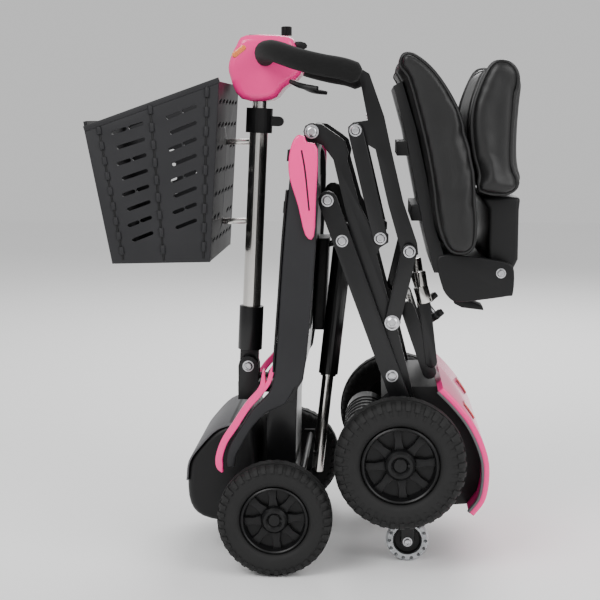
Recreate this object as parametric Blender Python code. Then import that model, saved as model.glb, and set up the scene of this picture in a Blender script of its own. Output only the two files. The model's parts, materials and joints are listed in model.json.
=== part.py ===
"""A folding four-wheel mobility scooter, folded: deck upright, rear frame hanging from the top hinge.

+X points to the rear, +Y to the scooter's right, +Z up. Lengths are metres.
Points of the side view are (x, z) pairs. Pieces of the left side lie at -Y.
"""

from math import atan2, cos, hypot, pi, radians, sin

import bmesh
import bpy
from mathutils import Matrix, Vector

GAP = 0.0003
SIDES = (("left", -1), ("right", 1))

# Wheels
HALF_TRACK = 0.200
FRONT_HUB, FRONT_RADIUS, FRONT_WIDTH = (-0.034, 0.089), 0.089, 0.050
REAR_HUB, REAR_RADIUS, REAR_WIDTH = (0.157, 0.178), 0.1015, 0.058
RIM_SHARE = 0.58
AXLE_RADIUS, AXLE_END = 0.008, 0.214
CASTER_HUB, CASTER_RADIUS, CASTER_HALF_TRACK = (0.171, 0.034), 0.034, 0.120

# Pivots of the side view
MAIN_HINGE = (0.019, 0.677)
BAR_TOP, ACTUATOR_TOP = (0.0436, 0.573), (0.066, 0.5115)
ACTUATOR_FOOT = (0.0203, 0.095)
LINK_TOP, LINK_FOOT = (0.0855, 0.679), (0.1244, 0.515)
ARM_TOP, ARM_FOOT = (0.169, 0.495), (0.1435, 0.385)
TILLER_PIVOT, TILLER_LEAN = (-0.091, 0.292), radians(2.6)
STEERING_HEIGHT = 0.262
BACKREST_PIVOT = (0.3067, 0.465)

# Layers across the width, from the middle outwards
FRAME_INNER, FRAME_OUTER = 0.1200, 0.1360
OUTER_LAYER = 0.1365
BAR_OUTER, ARM_OUTER = 0.1520, 0.1460
PANEL_INNER, PANEL_OUTER = 0.1575, 0.1800

for old in list(bpy.data.objects):
    bpy.data.objects.remove(old, do_unlink=True)


def material(name, colour, roughness, metallic=0.0):
    made = bpy.data.materials.new(name)
    made.use_nodes = True
    shader = made.node_tree.nodes["Principled BSDF"]
    shader.inputs["Base Color"].default_value = (*colour, 1.0)
    shader.inputs["Roughness"].default_value = roughness
    shader.inputs["Metallic"].default_value = metallic
    made.diffuse_color = (*colour, 1.0)
    return made


PINK = material("pink_paint", (0.90, 0.10, 0.30), 0.25)
BLACK_STEEL = material("black_painted_steel", (0.012, 0.012, 0.013), 0.35, 0.3)
GREY_PANEL = material("charcoal_plastic", (0.035, 0.035, 0.038), 0.5)
BLACK_PLASTIC = material("black_plastic", (0.015, 0.015, 0.016), 0.45)
RUBBER = material("tyre_rubber", (0.020, 0.020, 0.021), 0.8)
RIM_PLASTIC = material("rim_black", (0.014, 0.014, 0.015), 0.4)
CHROME = material("polished_tube", (0.75, 0.72, 0.68), 0.2, 1.0)
FOAM = material("grip_foam", (0.015, 0.015, 0.015), 0.95)
VINYL = material("seat_vinyl", (0.022, 0.022, 0.023), 0.5)
CLEAR_TYRE = material("clear_urethane", (0.55, 0.56, 0.57), 0.2)


# Shapes ---------------------------------------------------------------------


def finish(name, mesh_data, look, sharp=35):
    """One named object from a bmesh, its faces turned outwards and shaded smooth between sharp edges."""
    bmesh.ops.recalc_face_normals(mesh_data, faces=mesh_data.faces)
    mesh = bpy.data.meshes.new(name)
    mesh_data.to_mesh(mesh)
    mesh_data.free()
    mesh.materials.append(look)
    mesh.shade_smooth()
    mesh.set_sharp_from_angle(angle=radians(sharp))
    made = bpy.data.objects.new(name, mesh)
    bpy.context.scene.collection.objects.link(made)
    return made


def helper(made):
    """Hides an object that only shapes another one."""
    made.hide_render = True
    made.display_type = "WIRE"
    return made


def combine(target, operation, *others):
    for other in others:
        helper(other)
        step = target.modifiers.new(operation.title(), "BOOLEAN")
        step.operation = operation
        step.object = other
    return target


def rounded(made, width, segments=2):
    bevel = made.modifiers.new("Rounded edges", "BEVEL")
    bevel.width = width
    bevel.segments = segments
    bevel.limit_method = "ANGLE"
    bevel.angle_limit = radians(40)
    return made


def prism(name, outline, y_low, y_high, look):
    """A plate or block: an outline of the side view, run from y_low to y_high."""
    data = bmesh.new()
    ring = [data.verts.new((x, y_low, z)) for x, z in outline]
    face = data.faces.new(ring)
    grown = bmesh.ops.extrude_face_region(data, geom=[face])["geom"]
    for vert in (v for v in grown if isinstance(v, bmesh.types.BMVert)):
        vert.co.y = y_high
    return finish(name, data, look)


def sided(side, inner, outer):
    """The two Y values of a layer on one side, lowest first."""
    return sorted((side * inner, side * outer))


def box(name, low, high, look):
    outline = [(low[0], low[2]), (high[0], low[2]), (high[0], high[2]), (low[0], high[2])]
    return prism(name, outline, low[1], high[1], look)


def rod(name, start, end, radius, look, sides=20):
    start, end = Vector(start), Vector(end)
    data = bmesh.new()
    bmesh.ops.create_cone(
        data, cap_ends=True, segments=sides, radius1=radius, radius2=radius, depth=(end - start).length
    )
    turn = (end - start).to_track_quat("Z", "Y").to_matrix().to_4x4()
    bmesh.ops.transform(data, matrix=Matrix.Translation((start + end) / 2) @ turn, verts=data.verts)
    return finish(name, data, look)


def cross_rod(name, point, y_low, y_high, radius, look, sides=20):
    return rod(name, (point[0], y_low, point[1]), (point[0], y_high, point[1]), radius, look, sides)


def bar_outline(start, end, half_width, steps=6):
    """The outline of a flat bar with round ends about two points."""
    turn = atan2(end[1] - start[1], end[0] - start[0])
    points = []
    for centre, first in ((end, turn - pi / 2), (start, turn + pi / 2)):
        for step in range(steps + 1):
            angle = first + pi * step / steps
            points.append((centre[0] + half_width * cos(angle), centre[1] + half_width * sin(angle)))
    return points


def bar(name, start, end, half_width, y_low, y_high, look):
    return prism(name, bar_outline(start, end, half_width), y_low, y_high, look)


def turned(name, profile, point, look, steps=28):
    """A closed profile of (radius, y) spun about the line through point along Y."""
    data = bmesh.new()
    verts = [data.verts.new((r, y, 0)) for r, y in profile]
    edges = [data.edges.new((verts[i], verts[(i + 1) % len(verts)])) for i in range(len(verts))]
    bmesh.ops.spin(
        data, geom=verts + edges, axis=(0, 1, 0), cent=(0, 0, 0), steps=steps, angle=2 * pi, use_merge=True
    )
    bmesh.ops.remove_doubles(data, verts=data.verts, dist=1e-6)
    bmesh.ops.translate(data, vec=(point[0], 0, point[1]), verts=data.verts)
    return finish(name, data, look)


def swept(name, points, radius, look, sides=12):
    """A round bar along a smooth curve through the points."""
    data = bmesh.new()
    rings = []
    for i, point in enumerate(points):
        ahead = Vector(points[min(i + 1, len(points) - 1)]) - Vector(points[max(i - 1, 0)])
        turn = ahead.to_track_quat("Z", "Y").to_matrix()
        angles = [2 * pi * k / sides for k in range(sides)]
        circle = [Vector((radius * cos(a), radius * sin(a), 0)) for a in angles]
        rings.append([data.verts.new(Vector(point) + turn @ spot) for spot in circle])
    for low, high in zip(rings, rings[1:]):
        for k in range(sides):
            data.faces.new((low[k], low[(k + 1) % sides], high[(k + 1) % sides], high[k]))
    data.faces.new(rings[0])
    data.faces.new(rings[-1])
    return finish(name, data, look)


def smooth_path(points, steps=4):
    """Points of a Catmull-Rom curve through the given ones."""
    knots = [Vector(p) for p in points]
    knots = [2 * knots[0] - knots[1], *knots, 2 * knots[-1] - knots[-2]]
    path = []
    for a, b, c, d in zip(knots, knots[1:], knots[2:], knots[3:]):
        for step in range(steps):
            t = step / steps
            bend, twist = 2 * a - 5 * b + 4 * c - d, 3 * b - a - 3 * c + d
            path.append(0.5 * (2 * b + (c - a) * t + bend * t**2 + twist * t**3))
    return [*path, knots[-2]]


def along(start, end, distance, off=0.0):
    """The point at a distance along start to end, moved off to the left of that line."""
    length = hypot(end[0] - start[0], end[1] - start[1])
    dx, dz = (end[0] - start[0]) / length, (end[1] - start[1]) / length
    return start[0] + dx * distance - dz * off, start[1] + dz * distance + dx * off


def inset(points, depth):
    """A line of points moved to the right of its own direction."""
    (ax, az), (bx, bz) = points[-2:]
    ends = [*zip(points, points[1:]), ((bx, bz), (2 * bx - ax, 2 * bz - az))]
    return [along(start, end, 0, -depth) for start, end in ends]


# Front frame ----------------------------------------------------------------

DECK = [(-0.010, 0.650), (0.008, 0.674), (0.030, 0.674), (0.022, 0.640), (0.022, 0.514), (0.013, 0.376),
        (0.004, 0.298),
        (-0.008, 0.262), (-0.040, 0.262), (-0.0345, 0.300), (-0.0265, 0.422), (-0.020, 0.514),
        (-0.013, 0.605)]
DECK_UPPER_START, DECK_UPPER_HALF, DECK_HALF = 0.600, 0.1190, 0.1570
NECK = [(-0.040, 0.280), (-0.005, 0.280), (-0.008, 0.230), (-0.009, 0.112), (-0.056, 0.112),
        (-0.056, 0.215)]
NECK_HALF = 0.085
HINGE_BARREL_RADIUS, HINGE_PIN_RADIUS = 0.0130, 0.0060
STEERING_HEAD_RADIUS, STEERING_HEAD_END = 0.017, -0.0725

PANEL = [(-0.012, 0.6125), (-0.0215, 0.514), (-0.028, 0.422), (-0.036, 0.310), (-0.047, 0.276),
         (-0.068, 0.255),
         (-0.086, 0.228), (-0.1035, 0.200), (-0.1105, 0.178), (-0.1095, 0.163), (-0.0985, 0.163),
         (-0.0965, 0.178),
         (-0.088, 0.194), (-0.070, 0.226), (-0.046, 0.250), (-0.020, 0.262), (-0.005, 0.2875),
         (0.0074, 0.2985),
         (0.0166, 0.376), (0.027, 0.514), (0.030, 0.600), (0.027, 0.640), (0.012, 0.6580), (-0.004, 0.6540)]
CORNER_COVER = [(-0.0085, 0.660), (0.000, 0.672), (0.010, 0.671), (0.014, 0.662), (0.030, 0.6515),
                (0.0275, 0.5755),
                (0.0245, 0.521), (0.0115, 0.523), (0.0004, 0.568), (-0.012, 0.608), (-0.0135, 0.635)]
COVER_OUTER = 0.188
NOSE = [(-0.0745, 0.205), (-0.100, 0.219), (-0.132, 0.208), (-0.158, 0.182), (-0.176, 0.156),
        (-0.180, 0.125),
        (-0.176, 0.086), (-0.156, 0.064), (-0.110, 0.055), (-0.0745, 0.055)]
NOSE_HALF, NOSE_ROUND = 0.122, 0.016
BATTERY = [(0.0225, 0.500), (0.040, 0.500), (0.034, 0.345), (0.012, 0.345)]
BATTERY_Y = (0.030, 0.112)

TOWARDS_AXLE = 0.132
AXLE_FORK_REACH, AXLE_FORK_GAP, AXLE_FORK_OUT = 0.160, 0.0172, 0.024
KNUCKLE_IN, KNUCKLE_OUT = 0.142, 0.168
TIE_ROD, TIE_ROD_END = (0.004, 0.140), 0.140


def front_chassis():
    deck = prism("front_chassis", DECK, -DECK_UPPER_HALF, DECK_UPPER_HALF, BLACK_STEEL)
    wide = [(x, z) for x, z in DECK if z < DECK_UPPER_START]
    wide = [(0.022, DECK_UPPER_START), *wide, (-0.0135, DECK_UPPER_START)]
    lower = prism("deck_lower_solid", wide, -DECK_HALF, DECK_HALF, BLACK_STEEL)
    neck = prism("deck_neck_solid", NECK, -NECK_HALF, NECK_HALF, BLACK_STEEL)
    barrel = cross_rod("hinge_barrel_solid", MAIN_HINGE, -DECK_UPPER_HALF, DECK_UPPER_HALF,
                       HINGE_BARREL_RADIUS,
                       BLACK_STEEL, 24)
    head = rod("steering_head_solid", (-0.020, 0, STEERING_HEIGHT), (STEERING_HEAD_END, 0, STEERING_HEIGHT),
               STEERING_HEAD_RADIUS, BLACK_STEEL)
    combine(deck, "UNION", lower, neck, barrel, head)
    bore = cross_rod("hinge_bore_cutter", MAIN_HINGE, -0.2, 0.2, HINGE_PIN_RADIUS + GAP, BLACK_STEEL, 24)
    combine(deck, "DIFFERENCE", bore)


def front_frame():
    front_chassis()
    cross_rod("hinge_pin", MAIN_HINGE, -FRAME_OUTER - 0.004, FRAME_OUTER + 0.004, HINGE_PIN_RADIUS, CHROME,
              24)
    for name, side in SIDES:
        rounded(prism(f"deck_side_panel_{name}", PANEL, *sided(side, PANEL_INNER, PANEL_OUTER),
                      GREY_PANEL), 0.002, 1)
        cover = prism(f"corner_cover_{name}", CORNER_COVER, *sided(side, PANEL_OUTER + GAP, COVER_OUTER),
                      PINK)
        rounded(cover, 0.003)
    nose = prism("nose_cover", NOSE, -NOSE_HALF, NOSE_HALF, BLACK_PLASTIC)
    rounded(nose, NOSE_ROUND, 3)
    rounded(prism("battery_pack", BATTERY, *BATTERY_Y, BLACK_PLASTIC), 0.003, 1)

    hub_x, hub_z = FRONT_HUB
    beam = box("front_axle_beam", (hub_x - AXLE_FORK_OUT, -TOWARDS_AXLE, hub_z - 0.012),
               (hub_x + AXLE_FORK_OUT, TOWARDS_AXLE, hub_z + 0.0225), BLACK_STEEL)
    for name, side in SIDES:
        y_low, y_high = sided(side, TOWARDS_AXLE - 0.01, AXLE_FORK_REACH)
        for face, (x_low, x_high) in {"front": (-AXLE_FORK_OUT, -AXLE_FORK_GAP),
                                      "rear": (AXLE_FORK_GAP, AXLE_FORK_OUT)}.items():
            ear = box(f"{name}_{face}_fork_solid", (hub_x + x_low, y_low, hub_z - 0.012),
                      (hub_x + x_high, y_high, hub_z + 0.012),
                      BLACK_STEEL)
            combine(beam, "UNION", ear)
    cross_rod("tie_rod", TIE_ROD, -TIE_ROD_END, TIE_ROD_END, 0.005, BLACK_STEEL, 12)


def steering_knuckles():
    hub_x, hub_z = FRONT_HUB
    reach = AXLE_FORK_GAP - 0.0007
    for name, side in SIDES:
        y_low, y_high = sided(side, KNUCKLE_IN, KNUCKLE_OUT)
        block = box(f"steering_knuckle_{name}", (hub_x - reach, y_low, hub_z - 0.014),
                    (hub_x + reach, y_high, hub_z + 0.030),
                    BLACK_STEEL)
        arm_low, arm_high = sided(side, 0.146, 0.154)
        arm = prism(f"{name}_steering_arm_solid",
                    [(hub_x, hub_z + 0.015), (hub_x + reach, hub_z + 0.028), (0.012, 0.132),
                     (0.012, 0.148), (-0.006, 0.148)],
                    arm_low, arm_high, BLACK_STEEL)
        axle = cross_rod(f"{name}_front_axle_solid", FRONT_HUB, *sided(side, 0.160, AXLE_END), AXLE_RADIUS,
                         BLACK_STEEL)
        combine(block, "UNION", arm, axle)


# Wheels ---------------------------------------------------------------------


def tyre_profile(radius, width, inner):
    """Half-round shoulders on a flat tread, as (radius, y) about the wheel's middle."""
    half, shoulder = width / 2, width * 0.30
    side = [(inner, half * 0.72), (inner + 0.010, half * 0.92)]
    angles = [pi * k / 8 for k in range(5)]
    arc = [(radius - shoulder + shoulder * sin(a), half - shoulder + shoulder * cos(a)) for a in angles]
    outer = side + arc
    return outer + [(r, -y) for r, y in reversed(outer)]


def wheel(prefix, side_name, side, hub, radius, width):
    inner = radius * RIM_SHARE
    middle = side * HALF_TRACK
    tyre = [(r, y + middle) for r, y in tyre_profile(radius, width, inner + GAP)]
    turned(f"{prefix}_tyre_{side_name}", tyre, hub, RUBBER)
    half = width / 2
    bore = AXLE_RADIUS + GAP
    face = [(bore, half * 0.86), (0.020, half * 0.86), (0.022, half * 0.60), (inner - 0.012, half * 0.36),
            (inner - 0.007, half * 0.72), (inner, half * 0.72)]
    back = [(r, -y * 0.9) for r, y in reversed(face)]
    rim = [(r, side * y + middle) for r, y in face + back]
    turned(f"{prefix}_rim_{side_name}", rim, hub, RIM_PLASTIC)


def wheels():
    for name, side in SIDES:
        wheel("front", name, side, FRONT_HUB, FRONT_RADIUS, FRONT_WIDTH)
        wheel("rear", name, side, REAR_HUB, REAR_RADIUS, REAR_WIDTH)
        middle = side * CASTER_HALF_TRACK
        profile = [(0.0043, 0.011), (0.012, 0.011), (0.013, 0.008), (0.024, 0.008), (0.026, 0.011),
                   (CASTER_RADIUS - 0.002, 0.010), (CASTER_RADIUS, 0.006)]
        profile += [(r, -y) for r, y in reversed(profile)]
        turned(f"transport_wheel_{name}", [(r, y + middle) for r, y in profile], CASTER_HUB, CLEAR_TYRE)


# Rear frame -----------------------------------------------------------------

BEAM = [(0.006, 0.677), (0.009, 0.686), (0.019, 0.690), (0.034, 0.688), (0.059, 0.671), (0.070, 0.662),
        (0.075, 0.645),
        (0.073, 0.634), (0.092, 0.566), (0.112, 0.528), (0.124, 0.529), (0.137, 0.520), (0.137, 0.508),
        (0.124, 0.500),
        (0.119, 0.488), (0.141, 0.405), (0.154, 0.394), (0.157, 0.384), (0.152, 0.373), (0.170, 0.303),
        (0.186, 0.235),
        (0.156, 0.235), (0.141, 0.303), (0.081, 0.513), (0.052, 0.634), (0.036, 0.656), (0.019, 0.664),
        (0.009, 0.668)]
BAR_HALF_WIDTH = 0.0145
BAR_END = (0.1585, 0.262)
COVER = [(0.222, 0.2885), (0.246, 0.264), (0.268, 0.236), (0.285, 0.203), (0.2945, 0.170), (0.2945, 0.135),
         (0.288, 0.108),
         (0.272, 0.086)]
COVER_THICK, COVER_HALF = 0.010, 0.168
HOUSING_FRONT = [(0.140, 0.082), (0.120, 0.110), (0.1405, 0.150), (0.1405, 0.230), (0.128, 0.262),
                 (0.150, 0.280),
                 (0.205, 0.280)]
HOUSING_HALF, HOUSING_CLEARANCE = 0.1190, 0.0008
MOTOR, MOTOR_Y, MOTOR_RADIUS = (0.104, 0.195), (-0.070, 0.095), 0.034
CASTER_BAR = (0.171, 0.071)
SUPPORT_TOP, SUPPORT_FOOT = (0.168, 0.402), (0.203, 0.302)
SUPPORT_HALF_WIDTH, SUPPORT_INNER, SUPPORT_OUTER = 0.011, 0.098, 0.112
LOWER_TUBE, LOWER_TUBE_RADIUS = (0.146, 0.330), 0.011


def rear_frame():
    left = prism("rear_frame", BEAM, -FRAME_OUTER, -FRAME_INNER, BLACK_STEEL)
    right = prism("right_beam_solid", BEAM, FRAME_INNER, FRAME_OUTER, BLACK_STEEL)
    tube = cross_rod("lower_tube_solid", LOWER_TUBE, -0.13, 0.13, LOWER_TUBE_RADIUS, BLACK_STEEL)
    combine(left, "UNION", tube, right)
    bore = cross_rod("ear_bore_cutter", MAIN_HINGE, -0.2, 0.2, HINGE_PIN_RADIUS + GAP, BLACK_STEEL, 24)
    combine(left, "DIFFERENCE", bore)

    bars = bar("side_bars", BAR_TOP, BAR_END, BAR_HALF_WIDTH, -BAR_OUTER, -OUTER_LAYER, BLACK_STEEL)
    other = bar("right_bar_solid", BAR_TOP, BAR_END, BAR_HALF_WIDTH, OUTER_LAYER, BAR_OUTER, BLACK_STEEL)
    cross = cross_rod("actuator_tube_solid", ACTUATOR_TOP, -0.145, 0.145, 0.009, BLACK_STEEL, 24)
    combine(bars, "UNION", cross, other)


def rear_unit():
    outline = HOUSING_FRONT + inset(COVER, COVER_THICK + HOUSING_CLEARANCE)
    housing = prism("drive_housing", outline, -HOUSING_HALF, HOUSING_HALF, BLACK_PLASTIC)
    for name, side in SIDES:
        axle = cross_rod(f"{name}_rear_axle_solid", REAR_HUB, *sided(side, 0.100, AXLE_END), AXLE_RADIUS,
                         BLACK_STEEL)
        combine(housing, "UNION", axle)
    shell = prism("rear_cover", COVER + inset(COVER, COVER_THICK)[::-1], -COVER_HALF, COVER_HALF, PINK)
    rounded(shell, 0.002, 1)
    cross_rod("drive_motor", MOTOR, *MOTOR_Y, MOTOR_RADIUS, BLACK_STEEL, 24)

    x, z = CASTER_BAR
    bracket = box("transport_wheel_bracket", (x - 0.012, -0.138, z - 0.001),
                  (x + 0.012, 0.138, z + 0.0085), BLACK_STEEL)
    for name, side in SIDES:
        for place, (inner_y, outer_y) in {"inner": (0.1035, 0.1075), "outer": (0.1325, 0.1365)}.items():
            plate = bar(f"{name}_{place}_fork_plate", CASTER_HUB, (x, z - 0.003), 0.010,
                        *sided(side, inner_y, outer_y), BLACK_STEEL)
            combine(bracket, "UNION", plate)
        axle = cross_rod(f"{name}_caster_axle_solid", CASTER_HUB, *sided(side, 0.105, 0.135), 0.004,
                         BLACK_STEEL, 12)
        combine(bracket, "UNION", axle)

    left = bar("seat_support", SUPPORT_TOP, SUPPORT_FOOT, SUPPORT_HALF_WIDTH, -SUPPORT_OUTER,
               -SUPPORT_INNER, BLACK_STEEL)
    right = bar("right_support_solid", SUPPORT_TOP, SUPPORT_FOOT, SUPPORT_HALF_WIDTH, SUPPORT_INNER,
                SUPPORT_OUTER, BLACK_STEEL)
    cross = cross_rod("support_tube_solid", SUPPORT_TOP, -0.105, 0.105, 0.009, CHROME)
    combine(left, "UNION", cross, right)


# Actuator between the side bars and the axle ---------------------------------

HOUSING_REACH, STAGE_REACH, ROD_REACH = 0.235, 0.2385, 0.402
ACTUATOR_RADIUS, STAGE_RADIUS, ACTUATOR_ROD_RADIUS = 0.0160, 0.0128, 0.0095


def actuator():
    def point(distance):
        x, z = along(ACTUATOR_TOP, ACTUATOR_FOOT, distance)
        return (x, 0, z)

    body = rod("actuator_housing", point(0.024), point(HOUSING_REACH), ACTUATOR_RADIUS, BLACK_STEEL, 24)
    eye = cross_rod("actuator_eye_solid", ACTUATOR_TOP, -0.012, 0.012, 0.016, BLACK_STEEL, 24)
    neck = rod("actuator_neck_solid", point(0.012), point(0.040), 0.010, BLACK_STEEL)
    combine(body, "UNION", neck, eye)
    eye_bore = cross_rod("actuator_eye_cutter", ACTUATOR_TOP, -0.02, 0.02, 0.0095, BLACK_STEEL, 24)
    bore = rod("actuator_bore_cutter", point(0.048), point(HOUSING_REACH + 0.02), STAGE_RADIUS + GAP,
               BLACK_STEEL, 24)
    combine(body, "DIFFERENCE", eye_bore, bore)
    stage = rod("actuator_stage_tube", point(0.050), point(STAGE_REACH), STAGE_RADIUS, CHROME, 24)
    bore = rod("stage_bore_cutter", point(0.056), point(STAGE_REACH + 0.02), ACTUATOR_ROD_RADIUS + GAP,
               CHROME, 24)
    combine(stage, "DIFFERENCE", bore)
    rod("actuator_rod", point(0.058), point(ROD_REACH), ACTUATOR_ROD_RADIUS, CHROME, 24)


# Seat -----------------------------------------------------------------------

SEAT_SIDE = [(0.090, 0.764), (0.096, 0.770), (0.106, 0.764), (0.129, 0.700), (0.141, 0.646),
             (0.159, 0.571), (0.181, 0.507),
             (0.183, 0.490), (0.169, 0.481), (0.157, 0.487), (0.155, 0.500), (0.136, 0.566),
             (0.116, 0.650), (0.088, 0.667),
             (0.076, 0.672), (0.074, 0.684), (0.082, 0.691), (0.104, 0.694)]
SEAT_FRAME_OUTER = 0.1345
SEAT_BASE = [(0.142, 0.745), (0.160, 0.680), (0.176, 0.600), (0.190, 0.530), (0.206, 0.465),
             (0.222, 0.465), (0.222, 0.487),
             (0.206, 0.535), (0.193, 0.610), (0.176, 0.684), (0.155, 0.752)]
CUSHION = [(0.140, 0.778), (0.156, 0.755), (0.177, 0.6855), (0.194, 0.611), (0.207, 0.536), (0.224, 0.492),
           (0.258, 0.492),
           (0.266, 0.520), (0.2633, 0.5775), (0.2548, 0.640), (0.233, 0.712), (0.1946, 0.772),
           (0.1535, 0.803)]
CUSHION_HALF, SEAT_BASE_HALF = 0.205, 0.165
LUG_INNER, LUG_OUTER = 0.150, 0.165
BACKREST_PAD = [(0.288, 0.785), (0.270, 0.746), (0.259, 0.702), (0.261, 0.650), (0.2685, 0.605),
                (0.271, 0.580), (0.332, 0.580),
                (0.327, 0.630), (0.3265, 0.680), (0.330, 0.740), (0.332, 0.767), (0.318, 0.787)]
BACKREST_POST = [(0.297, 0.452), (0.3165, 0.452), (0.324, 0.463), (0.334, 0.484), (0.334, 0.560),
                 (0.336, 0.579), (0.276, 0.579),
                 (0.288, 0.560), (0.289, 0.472)]
BACKREST_POST_HALF = 0.148


def seat_frame():
    frame = prism("seat_frame", SEAT_SIDE, -SEAT_FRAME_OUTER, -FRAME_INNER - 0.0005, BLACK_STEEL)
    other = prism("right_seat_side_solid", SEAT_SIDE, FRAME_INNER + 0.0005, SEAT_FRAME_OUTER, BLACK_STEEL)
    upper = cross_rod("seat_upper_tube_solid", (0.119, 0.690), -0.128, 0.128, 0.010, BLACK_STEEL)
    lower = cross_rod("seat_lower_tube_solid", (0.149, 0.570), -0.128, 0.128, 0.010, BLACK_STEEL)
    combine(frame, "UNION", upper, lower, other)
    for name, side in SIDES:
        y_low, y_high = sided(side, OUTER_LAYER, ARM_OUTER)
        bar(f"seat_link_{name}", LINK_FOOT, LINK_TOP, 0.0115, y_low, y_high, BLACK_STEEL)
        bar(f"seat_arm_{name}", ARM_FOOT, ARM_TOP, 0.0120, y_low, y_high, BLACK_STEEL)


def seat():
    base = prism("seat_base", SEAT_BASE, -SEAT_BASE_HALF, SEAT_BASE_HALF, BLACK_PLASTIC)
    for x, z in ((0.149, 0.640), (0.172, 0.540)):
        mount = box(f"mounting_rail_{int(z * 1000)}_solid", (x, -0.115, z), (x + 0.030, 0.115, z + 0.022),
                    BLACK_PLASTIC)
        combine(base, "UNION", mount)
    rounded(prism("seat_cushion", CUSHION, -CUSHION_HALF, CUSHION_HALF, VINYL), 0.014, 2)
    housing = box("backrest_hinge_housing", (0.2275, -LUG_OUTER, 0.4216), (0.2805, LUG_OUTER, 0.4860),
                  BLACK_PLASTIC)
    for name, side in SIDES:
        lug = bar(f"{name}_hinge_lug_solid", (0.262, 0.452), BACKREST_PIVOT, 0.020,
                  *sided(side, LUG_INNER, LUG_OUTER), BLACK_PLASTIC)
        combine(housing, "UNION", lug)
    rounded(prism("backrest_pad", BACKREST_PAD, -CUSHION_HALF + 0.01, CUSHION_HALF - 0.01, VINYL), 0.014, 2)
    prism("backrest_post", BACKREST_POST, -BACKREST_POST_HALF, BACKREST_POST_HALF, BLACK_PLASTIC)
    lever = [(0.238, 0.4200), (0.250, 0.4200), (0.284, 0.4080), (0.286, 0.4010), (0.252, 0.4050),
             (0.240, 0.4110)]
    prism("backrest_release_lever", lever, -0.115, -0.075, BLACK_PLASTIC)


# Tiller ---------------------------------------------------------------------

TUBE_RADIUS, TUBE_BORE, INNER_TUBE_RADIUS = 0.0148, 0.0122, 0.0118
HEAD_HALF = 0.045
BASKET_BACK_TOP, BASKET_BACK_FOOT = (-0.121, 0.7545), (-0.137, 0.4775)
BASKET_FRONT_TOP, BASKET_FRONT_FOOT = (-0.3315, 0.694), (-0.2890, 0.4740)
BASKET_HALF, BASKET_WALL, BASKET_FLOOR_TOP = 0.150, 0.006, 0.486
BASKET_BACK_LEAN = 0.058
BRACKET_ROD_HEIGHTS, BRACKET_ROD_RADIUS = (0.659, 0.530), 0.0045
GRIP_ROUTE = ((-0.058, 0.052, 0.794), (-0.054, 0.100, 0.799), (-0.036, 0.148, 0.797),
              (0.000, 0.183, 0.784), (0.036, 0.196, 0.775),
              (0.068, 0.200, 0.769), (0.093, 0.200, 0.760))
HEAD = [(-0.098, 0.728), (-0.050, 0.726), (-0.030, 0.745), (-0.004, 0.765), (0.000, 0.790),
        (-0.012, 0.812), (-0.024, 0.826),
        (-0.090, 0.828), (-0.106, 0.812), (-0.118, 0.785), (-0.116, 0.762)]


def up_tiller(distance, off=0.0):
    """The (x, z) at a distance up the tiller from its pivot, moved off towards the rear."""
    x = TILLER_PIVOT[0] + distance * sin(TILLER_LEAN) + off * cos(TILLER_LEAN)
    return x, TILLER_PIVOT[1] + distance * cos(TILLER_LEAN) - off * sin(TILLER_LEAN)


def on_tiller(distance, off=0.0, y=0.0):
    x, z = up_tiller(distance, off)
    return (x, y, z)


def steering_stem():
    x, z = TILLER_PIVOT
    stem = box("steering_stem", (x - 0.017, -0.020, STEERING_HEIGHT - 0.026),
               (STEERING_HEAD_END - GAP, 0.020, STEERING_HEIGHT + 0.004),
               BLACK_STEEL)
    for name, side in SIDES:
        ear = bar(f"{name}_stem_ear_solid", (x, STEERING_HEIGHT - 0.002), TILLER_PIVOT, 0.0165,
                  *sided(side, 0.0120, 0.020), BLACK_STEEL)
        combine(stem, "UNION", ear)


def tiller():
    clamp = rod("tiller_clamp", on_tiller(0.026), on_tiller(0.098), 0.0200, BLACK_STEEL, 28)
    tongue = bar("tiller_tongue_solid", TILLER_PIVOT, up_tiller(0.040), 0.0150, -0.0115, 0.0115,
                 BLACK_STEEL)
    combine(clamp, "UNION", tongue)

    tube = rod("tiller_outer_tube", on_tiller(0.0983), on_tiller(0.382), TUBE_RADIUS, CHROME, 28)
    combine(tube, "DIFFERENCE", rod("tube_bore_cutter", on_tiller(0.104), on_tiller(0.40), TUBE_BORE,
                                    CHROME, 28))
    collar = rod("height_clamp", on_tiller(0.3823), on_tiller(0.422), 0.0215, BLACK_PLASTIC, 28)
    knob = bar("clamp_ear_solid", up_tiller(0.402, 0.016), up_tiller(0.402, 0.032), 0.008, -0.008, 0.008,
               BLACK_PLASTIC)
    combine(collar, "UNION", knob)
    combine(collar, "DIFFERENCE", rod("clamp_bore_cutter", on_tiller(0.37), on_tiller(0.43), TUBE_BORE,
                                      BLACK_PLASTIC, 28))


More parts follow.
